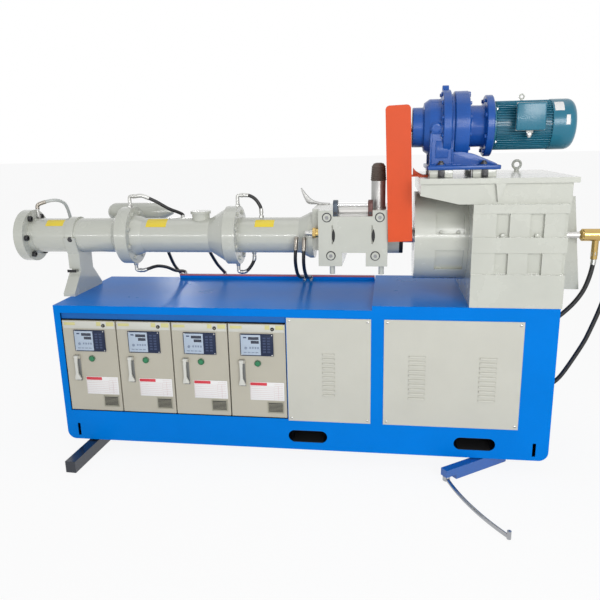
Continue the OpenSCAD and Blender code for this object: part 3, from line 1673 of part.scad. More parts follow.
module arm_right() {
    color("royalblue") in_frame()
        translate([right_pivot[0], right_pivot[1], arm_low])
            rotate(right_angle) {
                difference() {
                    swing_arm(right_arm_l + bar_eye_r, slim_arm_w, arm_h);
                    translate([right_arm_l - bar_notch, -slim_arm_w, -over])
                        cube([bar_notch * 2, 2 * slim_arm_w, bar_eye_t + 2 * over]);
                }
                translate([right_arm_l, 0, 0])
                    cylinder(r = bar_pin_r, h = bar_eye_t + 2 * over);
            }
}

module tie_bar() {
    hook = 4 * bar_r;
    bend = asin(bar_l / 2 / bar_bend_r);
    color("dimgrey") in_frame()
        translate([right_end[0], right_end[1], arm_low])
            rotate(bar_angle) {
                difference() {
                    union() {
                        cylinder(r = bar_eye_r, h = bar_eye_t);
                        translate([bar_l / 2, sqrt(bar_bend_r * bar_bend_r - bar_l * bar_l / 4), bar_r])
                            rotate(-90 - bend)
                                rotate_extrude(angle = 2 * bend)
                                    translate([bar_bend_r, 0])
                                        circle(r = bar_r);
                    }
                    translate([0, 0, -over])
                        cylinder(r = bar_pin_r + arm_bore_gap, h = bar_eye_t + 2 * over);
                }
                translate([bar_l, 0, 0])
                    cylinder(r = bar_r, h = hook);
            }
}

base_frame();
levelling_feet();
door_1();
door_2();
door_3();
door_4();
door_handle_1();
door_handle_2();
door_handle_3();
door_handle_4();
controller_1();
controller_2();
controller_3();
controller_4();
start_button_1();
start_button_2();
start_button_3();
start_button_4();
centre_panel();
right_panel();
panel_screws();
temperature_units();
main_motor();
motor_rotor();
drive_belts();
input_shaft();
bull_gear();
gear_bearings();
gearbox_housing();
gearbox_bell();
upper_box();
gearbox_lid();
belt_cover();
feed_housing();
feed_cover();
feed_roll();
roll_bracket();
feed_cylinder();
extruder_screw();
head_flange();
barrel_front();
barrel_vented();
barrel_rear();
machine_bolts();
vent_cap();
support_leg();
chain_guard();
drive_chain();
reducer();
reducer_shaft();
feed_motor();
feed_motor_rotor();
motor_mounts();
lifting_eyes();
rotary_union();
hoses();
hose_fittings();
arm_left();
arm_right();
tie_bar();
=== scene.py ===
import math

import bmesh
import bpy
from mathutils import Matrix, Vector


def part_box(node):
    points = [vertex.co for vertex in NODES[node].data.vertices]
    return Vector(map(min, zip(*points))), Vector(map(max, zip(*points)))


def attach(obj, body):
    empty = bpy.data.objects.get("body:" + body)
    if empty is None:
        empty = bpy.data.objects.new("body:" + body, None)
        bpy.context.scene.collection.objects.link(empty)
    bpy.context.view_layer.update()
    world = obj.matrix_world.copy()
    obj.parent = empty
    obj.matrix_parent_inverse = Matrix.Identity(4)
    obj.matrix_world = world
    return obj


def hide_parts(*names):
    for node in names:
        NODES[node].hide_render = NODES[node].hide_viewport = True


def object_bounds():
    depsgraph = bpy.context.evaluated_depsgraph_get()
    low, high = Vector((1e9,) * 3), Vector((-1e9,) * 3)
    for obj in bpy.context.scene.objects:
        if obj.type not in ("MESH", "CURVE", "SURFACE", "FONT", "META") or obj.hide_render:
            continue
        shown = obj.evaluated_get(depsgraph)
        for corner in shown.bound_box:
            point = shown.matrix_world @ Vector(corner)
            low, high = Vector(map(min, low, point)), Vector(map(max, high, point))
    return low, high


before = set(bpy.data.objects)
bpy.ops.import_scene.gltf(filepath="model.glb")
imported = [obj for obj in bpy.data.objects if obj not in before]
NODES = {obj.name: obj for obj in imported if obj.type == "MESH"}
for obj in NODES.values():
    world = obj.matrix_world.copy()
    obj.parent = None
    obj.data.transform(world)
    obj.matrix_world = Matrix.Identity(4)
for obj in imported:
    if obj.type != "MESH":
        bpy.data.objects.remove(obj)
cad_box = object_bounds()

# Lengths are in millimetres, counted from the middle of the cabinet's foot, but for the studio's.
MM = 0.001
low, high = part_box("base_frame")
MIDDLE = Vector((high[0] - 1.1, (low[1] + high[1]) / 2, 0))
TO_FRAME = Matrix.Translation(MIDDLE) @ Matrix.Scale(MM, 4)


def spot(x, y, z):
    return TO_FRAME @ Vector((x, y, z))


# Camera

EYE = (410.89, -2827.45, 1418.94)
YAW, PITCH, ROLL = (math.radians(a) for a in (8.428, 14.370, -1.259))
FOCAL = 615.64 / 600
SENSOR = 36


def add_camera():
    forward = Vector((-math.sin(YAW) * math.cos(PITCH), math.cos(YAW) * math.cos(PITCH), -math.sin(PITCH)))
    level = Vector((math.cos(YAW), math.sin(YAW), 0))
    upright = level.cross(forward)
    right = level * math.cos(ROLL) + upright * math.sin(ROLL)
    up = upright * math.cos(ROLL) - level * math.sin(ROLL)
    data = bpy.data.cameras.new("camera")
    data.sensor_width = SENSOR
    data.lens = FOCAL * SENSOR
    data.clip_end = 60
    camera = bpy.data.objects.new("camera", data)
    axes = Matrix((right, up, -forward)).transposed().to_4x4()
    camera.matrix_world = Matrix.Translation(spot(*EYE)) @ axes
    bpy.context.collection.objects.link(camera)
    bpy.context.scene.camera = camera


add_camera()

# Finishes


def node_tree(name):
    material = bpy.data.materials.new(name)
    material.use_nodes = True
    nodes, links = material.node_tree.nodes, material.node_tree.links
    return material, nodes, links, nodes["Principled BSDF"]


def tones(colour, spread):
    dark = [max(0, c * (1 - spread)) for c in colour]
    light = [min(1, c * (1 + spread)) for c in colour]
    return (*dark, 1), (*light, 1)


def finish(name, colour, rough=0.4, metal=0.0, mottle=0.06, patches=5, spread=0.08, grain=300,
           bump=0.02, coat=0.0, stretch=(1, 1, 1), edge=1.2, inner=None, shine=0.5):
    """Paint, metal or plastic: cloudy colour, uneven gloss, fine grain and softened edges."""
    material, nodes, links, shader = node_tree(name)
    place = nodes.new("ShaderNodeTexCoord")
    scaled = nodes.new("ShaderNodeMapping")
    scaled.inputs["Scale"].default_value = stretch
    links.new(place.outputs["Object"], scaled.inputs["Vector"])
    cloud = nodes.new("ShaderNodeTexNoise")
    cloud.inputs["Scale"].default_value = patches
    cloud.inputs["Detail"].default_value = 5
    cloud.inputs["Roughness"].default_value = 0.6
    fine = nodes.new("ShaderNodeTexNoise")
    fine.inputs["Scale"].default_value = grain
    fine.inputs["Detail"].default_value = 3
    links.new(scaled.outputs["Vector"], cloud.inputs["Vector"])
    links.new(scaled.outputs["Vector"], fine.inputs["Vector"])
    ramp = nodes.new("ShaderNodeValToRGB")
    ramp.color_ramp.elements[0].position = 0.3
    ramp.color_ramp.elements[1].position = 0.7
    ramp.color_ramp.elements[0].color, ramp.color_ramp.elements[1].color = tones(colour, mottle)
    links.new(cloud.outputs["Fac"], ramp.inputs["Fac"])
    tint = ramp.outputs["Color"]
    # Where inner gives 1, the colour is painted near-black shade instead of the paint.
    if inner:
        mix = nodes.new("ShaderNodeMix")
        mix.data_type = "RGBA"
        links.new(inner(nodes, links, place.outputs["Object"]), mix.inputs["Factor"])
        links.new(tint, mix.inputs[6])
        mix.inputs[7].default_value = (0.004, 0.005, 0.008, 1)
        tint = mix.outputs[2]
    links.new(tint, shader.inputs["Base Color"])
    gloss = nodes.new("ShaderNodeMapRange")
    gloss.inputs["To Min"].default_value = max(0.03, rough - spread)
    gloss.inputs["To Max"].default_value = min(1, rough + spread)
    links.new(cloud.outputs["Fac"], gloss.inputs["Value"])
    links.new(gloss.outputs["Result"], shader.inputs["Roughness"])
    relief = nodes.new("ShaderNodeBump")
    relief.inputs["Strength"].default_value = bump
    relief.inputs["Distance"].default_value = 0.001
    links.new(fine.outputs["Fac"], relief.inputs["Height"])
    if edge:
        rounding = nodes.new("ShaderNodeBevel")
        rounding.samples = 4
        rounding.inputs["Radius"].default_value = edge * MM
        links.new(rounding.outputs["Normal"], relief.inputs["Normal"])
    links.new(relief.outputs["Normal"], shader.inputs["Normal"])
    shader.inputs["Metallic"].default_value = metal
    shader.inputs["Specular IOR Level"].default_value = shine
    shader.inputs["Coat Weight"].default_value = coat
    shader.inputs["Coat Roughness"].default_value = 0.12
    return material


INSIDE_X, INSIDE_Y, INSIDE_Z = (-1096.5, 1096.5), (-305, 305), (68.5, 719)


def painted_shade_in_cabinet(nodes, links, place):
    """1 on the walls of the two fork slots and everywhere inside the cabinet's skin, where the blue is
    painted near-black as shade.
    """
    parts = nodes.new("ShaderNodeSeparateXYZ")
    links.new(place, parts.inputs["Vector"])

    def inside(axis, start, end):
        near = nodes.new("ShaderNodeMath")
        near.operation = "COMPARE"
        near.inputs[1].default_value = (start + end) / 2
        near.inputs[2].default_value = (end - start) / 2
        links.new(parts.outputs[axis], near.inputs[0])
        return near.outputs["Value"]

    def both(a, b):
        times = nodes.new("ShaderNodeMath")
        times.operation = "MULTIPLY"
        links.new(a, times.inputs[0])
        links.new(b, times.inputs[1])
        return times.outputs["Value"]

    first, last = (spot(*corner) for corner in zip(INSIDE_X, INSIDE_Y, INSIDE_Z))
    core = both(inside("X", first[0], last[0]), inside("Y", first[1], last[1]))
    return both(core, inside("Z", first[2], last[2]))


# The cabinet's inside and the fork slot walls are painted near-black as shade.
FRAME_BLUE = finish("frame_blue_enamel", (0.0, 0.19, 0.68), 0.3, mottle=0.05, bump=0.03, patches=3,
                    inner=painted_shade_in_cabinet, shine=0.05)
# Painted shade: the recessed strip's blue is darkened as if in shadow.
SHADED_STRIP_BLUE = finish("strip_blue_painted_shade", (0.008, 0.12, 0.42), 0.4, shine=0.2)
GREY = finish("machine_grey_enamel", (0.53, 0.54, 0.48), 0.26, mottle=0.035, coat=0.7, bump=0.05,
              patches=7, grain=140)
PANEL = finish("panel_grey", (0.55, 0.545, 0.48), 0.5, mottle=0.03, bump=0.04, grain=500)
CREAM = finish("door_cream", (0.47, 0.445, 0.365), 0.45, mottle=0.03, bump=0.04, grain=500)
BAND = finish("door_band", (0.60, 0.60, 0.54), 0.4, mottle=0.02)
PALE_YELLOW = finish("bare_yellow_patch", (0.62, 0.58, 0.26), 0.45, mottle=0.04)
WHITE = finish("bare_white_plate", (0.80, 0.79, 0.78), 0.4, mottle=0.02, bump=0.01)
RED = finish("red_bar", (0.62, 0.04, 0.06), 0.45, mottle=0.05)
RULED = finish("ruled_line", (0.62, 0.45, 0.44), 0.5, mottle=0.05)
NAVY = finish("controller_navy", (0.011, 0.02, 0.055), 0.45, mottle=0.08, bump=0.05, grain=700, shine=0.3)
FACE = finish("controller_face", (0.42, 0.50, 0.60), 0.4, mottle=0.03)
DISPLAY = finish("dark_display", (0.012, 0.02, 0.045), 0.12, coat=0.6, mottle=0.1)
KEY = finish("keypad_key", (0.03, 0.05, 0.12), 0.5, mottle=0.06)
MARK = finish("pale_mark", (0.22, 0.27, 0.36), 0.5, mottle=0.06)
GREEN = finish("button_green", (0.012, 0.19, 0.075), 0.35, coat=0.2, mottle=0.04)
DARK_GREEN = finish("button_collar", (0.01, 0.11, 0.045), 0.4, mottle=0.06)
HANDLE = finish("handle_grey", (0.62, 0.62, 0.57), 0.4, mottle=0.04, coat=0.15)
HANDLE_SHADE = finish("handle_dish", (0.16, 0.165, 0.16), 0.5, mottle=0.06)
VENT = finish("vent_olive", (0.33, 0.32, 0.25), 0.55, mottle=0.08)
# BLACK is the real black of the plug and the neck seal, and painted shade in slots, openings and shadow
# lines.
BLACK = finish("black_parts_and_painted_shade", (0.006, 0.006, 0.007), 0.6, mottle=0.2, edge=0)
RUBBER = finish("hose_rubber", (0.012, 0.012, 0.013), 0.42, mottle=0.2, bump=0.25, grain=900, edge=0)
CLEAR_HOSE = finish("pale_hose", (0.50, 0.52, 0.50), 0.3, mottle=0.08, coat=0.5, edge=0)
CRIMP = finish("crimped_sleeve", (0.36, 0.33, 0.29), 0.3, 0.9, mottle=0.3, bump=0.3, grain=520, edge=0)
STEEL = finish("bright_steel", (0.62, 0.61, 0.59), 0.3, 0.95, mottle=0.07, bump=0.08, grain=260,
               stretch=(1, 1, 6))
DARK_STEEL = finish("dark_steel", (0.085, 0.085, 0.09), 0.38, 0.75, mottle=0.25, bump=0.15, grain=220)
BLUED = finish("dark_blue_grey", (0.07, 0.09, 0.12), 0.4, 0.3, mottle=0.15, bump=0.1)
REDDISH = finish("dark_reddish", (0.12, 0.05, 0.045), 0.45, 0.3, mottle=0.2, bump=0.1)
CHROME = finish("chrome", (0.80, 0.80, 0.80), 0.12, 1.0, mottle=0.04, spread=0.04, bump=0.01)
STAINLESS = finish("stainless_tube", (0.40, 0.40, 0.39), 0.38, 0.7, mottle=0.05, bump=0.05, grain=160,
                   stretch=(6, 6, 1))
BRASS = finish("brass", (0.60, 0.42, 0.16), 0.25, 0.95, mottle=0.10, bump=0.05)
CAST = finish("cast_parts", (0.30, 0.30, 0.31), 0.5, 0.5, mottle=0.15, bump=0.3, grain=180)
BOOT = finish("rubber_boot", (0.10, 0.075, 0.06), 0.6, mottle=0.12, bump=0.2)
ORANGE = finish("guard_orange", (0.70, 0.085, 0.022), 0.4, mottle=0.05, bump=0.05, shine=0.2)
REDUCER = finish("reducer_blue", (0.012, 0.085, 0.36), 0.28, mottle=0.15, coat=0.12, bump=0.25, grain=90,
                 shine=0.3)
TEAL = finish("motor_teal", (0.012, 0.155, 0.24), 0.28, mottle=0.10, coat=0.2, bump=0.15, grain=120,
              shine=0.4)
BOLT = finish("dark_bolt", (0.05, 0.05, 0.053), 0.38, 0.6, mottle=0.2, bump=0.1, edge=0.5)
SCREW = finish("plated_screw", (0.55, 0.55, 0.53), 0.32, 0.9, mottle=0.08, bump=0.05, edge=0.5)
RAIL_RED = finish("rail_red", (0.50, 0.11, 0.13), 0.5, mottle=0.12)
# Painted shade: the left arm is painted near black for the shade it lies in under the base.
SHADED_ARM = finish("arm_black", (0.016, 0.02, 0.03), 0.3, 0.2, mottle=0.2, coat=0.3, bump=0.1)
ARM_BLUE = finish("arm_blue", (0.01, 0.11, 0.42), 0.3, mottle=0.1, coat=0.35, bump=0.1)
BAR_STEEL = finish("polished_bar", (0.42, 0.43, 0.45), 0.2, 1.0, mottle=0.12, bump=0.04)
YELLOW = finish("bare_yellow_label", (0.82, 0.63, 0.035), 0.35, mottle=0.04, coat=0.2, bump=0.02)
GLASS = finish("sight_glass", (0.35, 0.18, 0.03), 0.08, coat=0.8, mottle=0.1)

NODE_FINISH = {
    "base_frame": FRAME_BLUE, "levelling_feet": STEEL, "centre_panel": PANEL, "right_panel": PANEL,
    "panel_screws": SCREW, "temperature_units": CAST, "main_motor": CAST, "motor_rotor": STEEL,
    "drive_belts": RUBBER, "input_shaft": STEEL, "bull_gear": STEEL, "gear_bearings": STEEL,
    "gearbox_housing": GREY, "gearbox_bell": GREY, "upper_box": GREY, "gearbox_lid": GREY,
    "belt_cover": GREY, "feed_housing": GREY, "feed_cover": GREY, "feed_roll": STEEL,
    "extruder_screw": STEEL, "head_flange": GREY, "barrel_front": GREY, "barrel_vented": GREY,
    "barrel_rear": GREY, "vent_cap": GREY, "support_leg": GREY, "chain_guard": ORANGE,
    "drive_chain": DARK_STEEL, "reducer_shaft": STEEL, "feed_motor_rotor": STEEL,
    "motor_mounts": DARK_STEEL, "lifting_eyes": GREY, "roll_bracket": BLUED, "feed_cylinder": STAINLESS,
    "machine_bolts": BOLT, "reducer": REDUCER, "feed_motor": TEAL, "rotary_union": BRASS,
    "hoses": RUBBER, "hose_fittings": STEEL, "arm_left": SHADED_ARM, "arm_right": ARM_BLUE,
    "tie_bar": BAR_STEEL,
}
for i in range(1, 5):
    NODE_FINISH.update({f"door_{i}": CREAM, f"door_handle_{i}": HANDLE, f"controller_{i}": NAVY,
                        f"start_button_{i}": GREEN})

for name, node in NODES.items():
    node.data.materials.clear()
    node.data.materials.append(NODE_FINISH[name])

# Making forms


def softened(outline, cut, closed=False):
    """Replaces each corner of an outline by three points, at most `cut` from it."""
    result = []
    count = len(outline)
    for i, corner in enumerate(outline):
        if not closed and i in (0, count - 1):
            result.append(tuple(corner))
            continue
        here = Vector(corner)
        ends = []
        for other in (Vector(outline[i - 1]), Vector(outline[(i + 1) % count])):
            away = other - here
            ends.append(here + away * min(cut / max(away.length, 1e-6), 0.45))
        middle = here * 0.5 + (ends[0] + ends[1]) * 0.25
        result += [tuple(ends[0]), tuple(middle), tuple(ends[1])]
    return result


def arc(centre, radius, start, end, steps):
    """Points of an arc, angles in degrees."""
    turns = [math.radians(start + (end - start) * i / steps) for i in range(steps + 1)]
    return [(centre[0] + radius * math.cos(t), centre[1] + radius * math.sin(t)) for t in turns]


MODELLED = {}


def modelled(kind, *sizes):
    """The mesh of one solid, in millimetres; a solid that repeats is modelled only once."""
    key = (kind.__name__, *sizes)
    if key not in MODELLED:
        bpy.ops.object.select_all(action="DESELECT")
        kind(*sizes)
        bpy.ops.object.mode_set(mode="OBJECT")
        solid = bpy.context.object
        MODELLED[key] = solid.data
        bpy.data.objects.remove(solid)
    return MODELLED[key]


def select_only(mode, chosen):
    """Selects the corners or faces of the mesh in edit mode for which `chosen` holds."""
    bpy.ops.mesh.select_mode(type=mode)
    bpy.ops.mesh.select_all(action="DESELECT")
    mesh = bmesh.from_edit_mesh(bpy.context.object.data)
    for part in mesh.faces if mode == "FACE" else mesh.verts:
        part.select_set(bool(chosen(part)))
    mesh.select_flush_mode()


def soft_block(size, soft, steps):
    """A cube stretched to its size, with all its edges rounded."""
    bpy.ops.mesh.primitive_cube_add(size=1, scale=size, enter_editmode=True)
    if soft > 0:
        bpy.ops.mesh.bevel(offset=soft, segments=steps, profile=0.5, affect="EDGES", clamp_overlap=True)


def draw_in(along, corners, sign):
    """Pulls the selected ring in between its corners (sign 1), or lets it out to round (sign -1)."""
    step = 2 * math.pi / corners
    mesh = bmesh.from_edit_mesh(bpy.context.object.data)
    mesh.verts.index_update()
    ring = {}
    for vert in mesh.verts:
        if vert.select:
            past = math.atan2(vert.co.y, vert.co.x) % step
            ring[vert.index] = round(math.cos(step / 2) / math.cos(past - step / 2), 5)
    for reach in sorted(set(ring.values()) - {1}):
        share = reach ** sign
        select_only("VERT", lambda vert: ring.get(vert.index) == reach)
        bpy.ops.transform.resize(value=(share, share, 1), center_override=(0, 0, along))
    select_only("VERT", lambda vert: vert.index in ring)


def lathe_form(profile, sides, opening):
    """A disc drawn out and resized from point to point of the profile; `opening` names its open end."""
    (along, radius, corners), rest = profile[0], profile[1:]
    if radius > 0:
        bpy.ops.mesh.primitive_circle_add(vertices=sides, radius=radius, enter_editmode=True,
                                          fill_type="NOTHING" if opening == "first" else "NGON")
        bpy.ops.transform.translate(value=(0, 0, along))
        if corners:
            draw_in(along, corners, 1)
    else:
        tip, (along, radius, corners), rest = along, rest[0], rest[1:]
        bpy.ops.mesh.primitive_cone_add(vertices=sides, radius1=0, radius2=radius, depth=along - tip,
                                        enter_editmode=True)
        bpy.ops.transform.translate(value=(0, 0, (along + tip) / 2))
        select_only("VERT", lambda vert: vert.co.z > (along + tip) / 2)
    bpy.ops.mesh.select_mode(type="VERT")
    for next_along, next_radius, next_corners in rest:
        rise = {"value": (0, 0, next_along - along)}
        bpy.ops.mesh.extrude_region_move(TRANSFORM_OT_translate=rise)
        if next_radius <= 0:
            bpy.ops.mesh.merge(type="CENTER")
            return
        share = next_radius / radius
        bpy.ops.transform.resize(value=(share, share, 1), center_override=(0, 0, next_along))
        if corners and not next_corners:
            draw_in(next_along, corners, -1)
        if next_corners and not corners:
            draw_in(next_along, next_corners, 1)
        along, radius, corners = next_along, next_radius, next_corners
    if opening == "last":
        bpy.ops.mesh.delete(type="ONLY_FACE")


def plate(outline, depth, soft, steps):
    """One corner drawn along the outline, filled, raised and rounded at its two rims."""
    bpy.ops.mesh.primitive_plane_add(size=1, enter_editmode=True)
    bpy.ops.mesh.select_mode(type="VERT")
    bpy.ops.mesh.merge(type="CENTER")
    bpy.ops.transform.translate(value=(*outline[0], 0))
    for (x0, y0), (x1, y1) in zip(outline, outline[1:]):
        bpy.ops.mesh.extrude_region_move(TRANSFORM_OT_translate={"value": (x1 - x0, y1 - y0, 0)})
    bpy.ops.mesh.select_all(action="SELECT")
    bpy.ops.mesh.edge_face_add()
    bpy.ops.mesh.extrude_region_move(TRANSFORM_OT_translate={"value": (0, 0, depth)})
    if soft:
        select_only("FACE", lambda face: abs(face.normal.z) > 0.999)
        bpy.ops.mesh.bevel(offset=soft, segments=steps, profile=0.5, affect="EDGES", clamp_overlap=True,
                           loop_slide=False)


def round_bar(points, radii, sides):
    """A round bar bent along points, with its own radius at each of them."""
    curve = bpy.data.curves.new("bar", "CURVE")
    curve.dimensions = "3D"
    curve.bevel_depth = 1
    curve.bevel_resolution = sides // 2 - 2
    curve.use_fill_caps = True
    spline = curve.splines.new("POLY")
    spline.points.add(len(points) - 1)
    for point, place, radius in zip(spline.points, points, radii):
        point.co = (*place, 1)
        point.radius = radius
    bar = bpy.data.objects.new("bar", curve)
    bpy.context.collection.objects.link(bar)
    bpy.context.view_layer.objects.active = bar
    bar.select_set(True)
    bpy.ops.object.convert(target="MESH")
    bpy.ops.object.mode_set(mode="EDIT")
    bpy.ops.mesh.select_all(action="SELECT")
    bpy.ops.mesh.remove_doubles(threshold=0.001)


def rounded(numbers):
    """Numbers rounded to a millionth, so that like sizes are seen as the same."""
    return tuple(rounded(n) if hasattr(n, "__len__") else round(n, 6) for n in numbers)


class Form:
    """A piece that is put together from solids of revolution, blocks, plates and bars."""

    def __init__(self, *paints):
        self.paints = paints
        self.solids = []

    def place(self, mesh, paint, where=Matrix()):
        """Puts a painted copy of a solid in its place."""
        solid = bpy.data.objects.new("solid", mesh.copy())
        solid.data.materials.clear()
        solid.data.materials.append(self.paints[paint])
        bpy.context.collection.objects.link(solid)
        solid.matrix_world = where
        self.solids.append(solid)

    def block(self, low, high, soft=1.0, paint=0, steps=2, where=Matrix()):
        """A block from its low to its high corner, with rounded edges."""
        size = [b - a for a, b in zip(low, high)]
        middle = [(a + b) / 2 for a, b in zip(low, high)]
        soft = min(soft, 0.45 * min(size))
        self.place(modelled(soft_block, rounded(size), round(soft, 6), steps), paint,
                   where @ Matrix.Translation(middle))

    def turned(self, profile, at, axis=(0, 0, 1), sides=32, paint=0, turn=0, opening=None):
        """A lathe form. A profile point is (along, radius) or (along, radius, corners)."""
        profile = rounded((*point, 0)[:3] for point in profile)
        facing = Vector((0, 0, 1)).rotation_difference(Vector(axis).normalized()).to_matrix().to_4x4()
        spin = Matrix.Rotation(math.radians(turn), 4, "Z")
        where = Matrix.Translation(at) @ facing @ spin
        self.place(modelled(lathe_form, profile, sides, opening), paint, where)

    def prism(self, outline, at, u, v, depth, soft=0.8, paint=0, steps=2):
        """A plate of an outline in the plane of u and v, drawn along u x v."""
        u, v = Vector(u), Vector(v)
        facing = Matrix((u, v, u.cross(v))).transposed().to_4x4()
        soft = min(soft, abs(depth) * 0.45)
        where = Matrix.Translation(at) @ facing
        self.place(modelled(plate, rounded(outline), depth, soft, steps), paint, where)

    def tube(self, points, radius, sides=12, paint=0):
        """A round bar along points; radius is a number or one for each point."""
        radii = radius if hasattr(radius, "__len__") else [radius] * len(points)
        self.place(modelled(round_bar, rounded(points), rounded(radii), sides), paint)

    def curved_patch(self, x0, x1, radius, centre, start, end, thick=0.5, steps=12, paint=0):
        """A thin sheet on a barrel; angles in degrees above the side that faces -Y."""
        outer = arc((0, 0), radius + thick, start, end, steps)
        inner = arc((0, 0), radius - 0.2, end, start, steps)
        outline = [(-a, b) for a, b in outer + inner]
        self.prism(outline, (x1, *centre), (0, 1, 0), (0, 0, 1), -(x1 - x0), soft=0, paint=paint)

    def hex_bolt(self, at, axis, size, tall=None, paint=0, turn=0):
        """A washer and a chamfered hexagon head."""
        tall = tall or size * 0.65
        self.turned([(0, size * 1.15), (size * 0.12, size * 1.15), (size * 0.14, size * 1.05)],
                    at, axis, 24, paint)
        self.turned([(size * 0.12, size, 6), (tall * 0.86, size, 6), (tall, size * 0.84), (tall, 0)],
                    at, axis, 24, paint, turn)

    def cap_screw(self, at, axis, radius, tall, paint=0, turn=0):
        """A round head with a hexagon socket."""
        rim = radius * 0.12
        self.turned([(0, radius), (tall - rim, radius), (tall, radius - rim), (tall, radius * 0.62, 6),
                     (tall * 0.45, radius * 0.6, 6), (tall * 0.4, 0)], at, axis, 24, paint, turn)


def piece(name, form, body, stands_for=(), crisp=35, weld=False):
    """Joins the solids of a form to one piece at the origin and gives it to its body."""
    bpy.ops.object.select_all(action="DESELECT")
    for solid in form.solids:
        solid.select_set(True)
    obj = form.solids[0]
    bpy.context.view_layer.objects.active = obj
    bpy.ops.object.join()
    obj.name = obj.data.name = name
    obj.matrix_world = TO_FRAME @ obj.matrix_world
    bpy.ops.object.transform_apply(location=True, rotation=True, scale=True)
    bpy.ops.object.mode_set(mode="EDIT")
    bpy.ops.mesh.select_all(action="SELECT")
    if weld:
        bpy.ops.mesh.remove_doubles(threshold=0.01 * MM)
    bpy.ops.mesh.normals_make_consistent(inside=False)
    bpy.ops.object.mode_set(mode="OBJECT")
    bpy.ops.object.shade_smooth_by_angle(angle=math.radians(crisp))
    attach(obj, body)
    if stands_for:
        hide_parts(*stands_for)
    return obj


# Hoses

HALF_L = 1100
AXIS_Z = 1000
STUB_X1 = HALF_L + 24
HOSE_PATHS = {
    "head_water": [
        (-1301, 0, 1130), (-1301, 0, 1140), (-1288, 6, 1154), (-1230, 34, 1168), (-1206, 80, 1152),
        (-1203, 110, 1115), (-1203, 128, 1060), (-1203, 126, 1018), (-1203, 112, 1000), (-1203, 100, 1000)],
    "front_flange_top": [
        (-798, 0, 1186), (-788, 0, 1186), (-760, 4, 1188), (-700, 18, 1160), (-648, 46, 1122),
        (-612, 72, 1102), (-592, 86, 1088), (-590, 77, 1077), (-590, 67, 1067)],
    "front_flange_low": [
        (-790, 0, 826), (-780, 0, 826), (-756, 12, 833), (-728, 48, 838), (-706, 120, 818),
        (-690, 200, 784), (-676, 270, 768), (-671, 298, 755), (-671, 298, 745)],
    "zone_2_return": [
        (-680, 67, 933), (-680, 77, 923), (-684, 102, 896), (-690, 180, 822), (-697, 270, 768),
        (-698, 298, 755), (-698, 298, 745)],
    "zone_3_return": [
        (-470, 67, 933), (-470, 77, 923), (-468, 102, 896), (-460, 180, 826), (-452, 270, 768),
        (-453, 298, 755), (-453, 298, 745)],
    "rear_flange_top": [
        (-264, 0, 1186), (-254, 0, 1186), (-230, 0, 1182), (-206, 0, 1166), (-187, 0, 1138),
        (-181, 0, 1114), (-181, 0, 1104)],
    "rear_flange_low": [
        (-284, 0, 822), (-274, 0, 822), (-256, 0, 832), (-238, 0, 854), (-226, 0, 876),
        (-222, 0, 890), (-222, 0, 900)],
    "feed_braid_left": [
        (-2, -104, 1000), (-2, -112, 1000), (-3, -120, 985), (-6, -122, 940), (-10, -100, 885),
        (-14, -20, 820), (-18, 110, 775), (-20, 230, 752), (-20, 266, 736), (-20, 266, 725)],
    "feed_braid_right": [
        (36, -122, 1000), (36, -130, 1000), (36, -138, 985), (34, -142, 940), (30, -115, 880),
        (24, -20, 818), (18, 110, 775), (14, 230, 752), (14, 266, 736), (14, 266, 725)],
    "screw_supply": [
        (1304, 0, 893), (1304, 0, 883), (1295, 0, 821), (1274, 0, 752), (1238, 0, 692),
        (1191, 0, 640), (1150, 0, 606), (STUB_X1 + 10, 0, 600), (STUB_X1, 0, 600)],
    "screw_return": [
        (1320, 0, 1000), (1332, 0, 1000), (1352, 0, 996), (1372, 0, 970), (1382, 0, 920),
        (1382, 0, 850), (1372, 0, 760), (1351, 0, 670), (1318, 0, 566), (1290, 0, 494),
        (1226, 0, 370), (1190, 0, 318), (1150, 0, 286), (STUB_X1 + 10, 0, 280), (STUB_X1, 0, 280)],
}
HOSE_LOOK = {"head_water": CLEAR_HOSE}
FIRST_SLEEVE = {"head_water": 60, "front_flange_top": 75, "feed_braid_left": 62, "feed_braid_right": 62}
CRIMPED = ("head_water", "feed_braid_left", "feed_braid_right")
HOSE_R, WIDE_HOSE_R = 8, 10


def eased(points, steps=4):
    """A smooth line through all the points, never past any pair of neighbours."""
    points = [Vector(p) for p in points]
    line = []
    for i in range(len(points) - 1):
        before, start = points[max(i - 1, 0)], points[i]
        end, after = points[i + 1], points[min(i + 2, len(points) - 1)]
        for k in range(steps):
            t = k / steps
            place = 0.5 * (2 * start + (end - before) * t
                           + (2 * before - 5 * start + 4 * end - after) * t * t
                           + (3 * start - before - 3 * end + after) * t ** 3)
            limits = [sorted(pair) for pair in zip(start, end)]
            line.append(Vector([min(max(c, a), b) for c, (a, b) in zip(place, limits)]))
    return line + [points[-1]]


def add_hose(name, points):
    radius = (WIDE_HOSE_R if name.startswith("screw") else HOSE_R) * MM
    line = [spot(*p) for p in eased(points)]
    curve = bpy.data.curves.new(name, "CURVE")
    curve.dimensions = "3D"
    curve.bevel_depth = radius
    curve.bevel_resolution = 5
    curve.use_fill_caps = True
    spline = curve.splines.new("POLY")
    spline.points.add(len(line) - 1)
    for point, place in zip(spline.points, line):
        point.co = (*place, 1)
    curve.materials.append(HOSE_LOOK.get(name, RUBBER))
    hose = bpy.data.objects.new("hose_" + name, curve)
    bpy.context.collection.objects.link(hose)
    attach(hose, "machine")
    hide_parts("hoses")
    return line


hose_lines = {name: add_hose(name, points) for name, points in HOSE_PATHS.items()}


def along(line, length, step=1.5):
    """Points every `step` along a line, up to `length` from its start."""
    points, walked = [line[0]], 0
    for a, b in zip(line, line[1:]):
        gap = (b - a).length
        while gap > 1e-6 and len(points) * step <= min(walked + gap, length):
            points.append(a + (b - a) * ((len(points) * step - walked) / gap))
        walked += gap
    return points


FIRST_SLEEVE_L, LAST_SLEEVE_L = 26, 22
SLEEVE_EDGE, GROOVE, RIDGE = 0.5, 0.9, 1.7


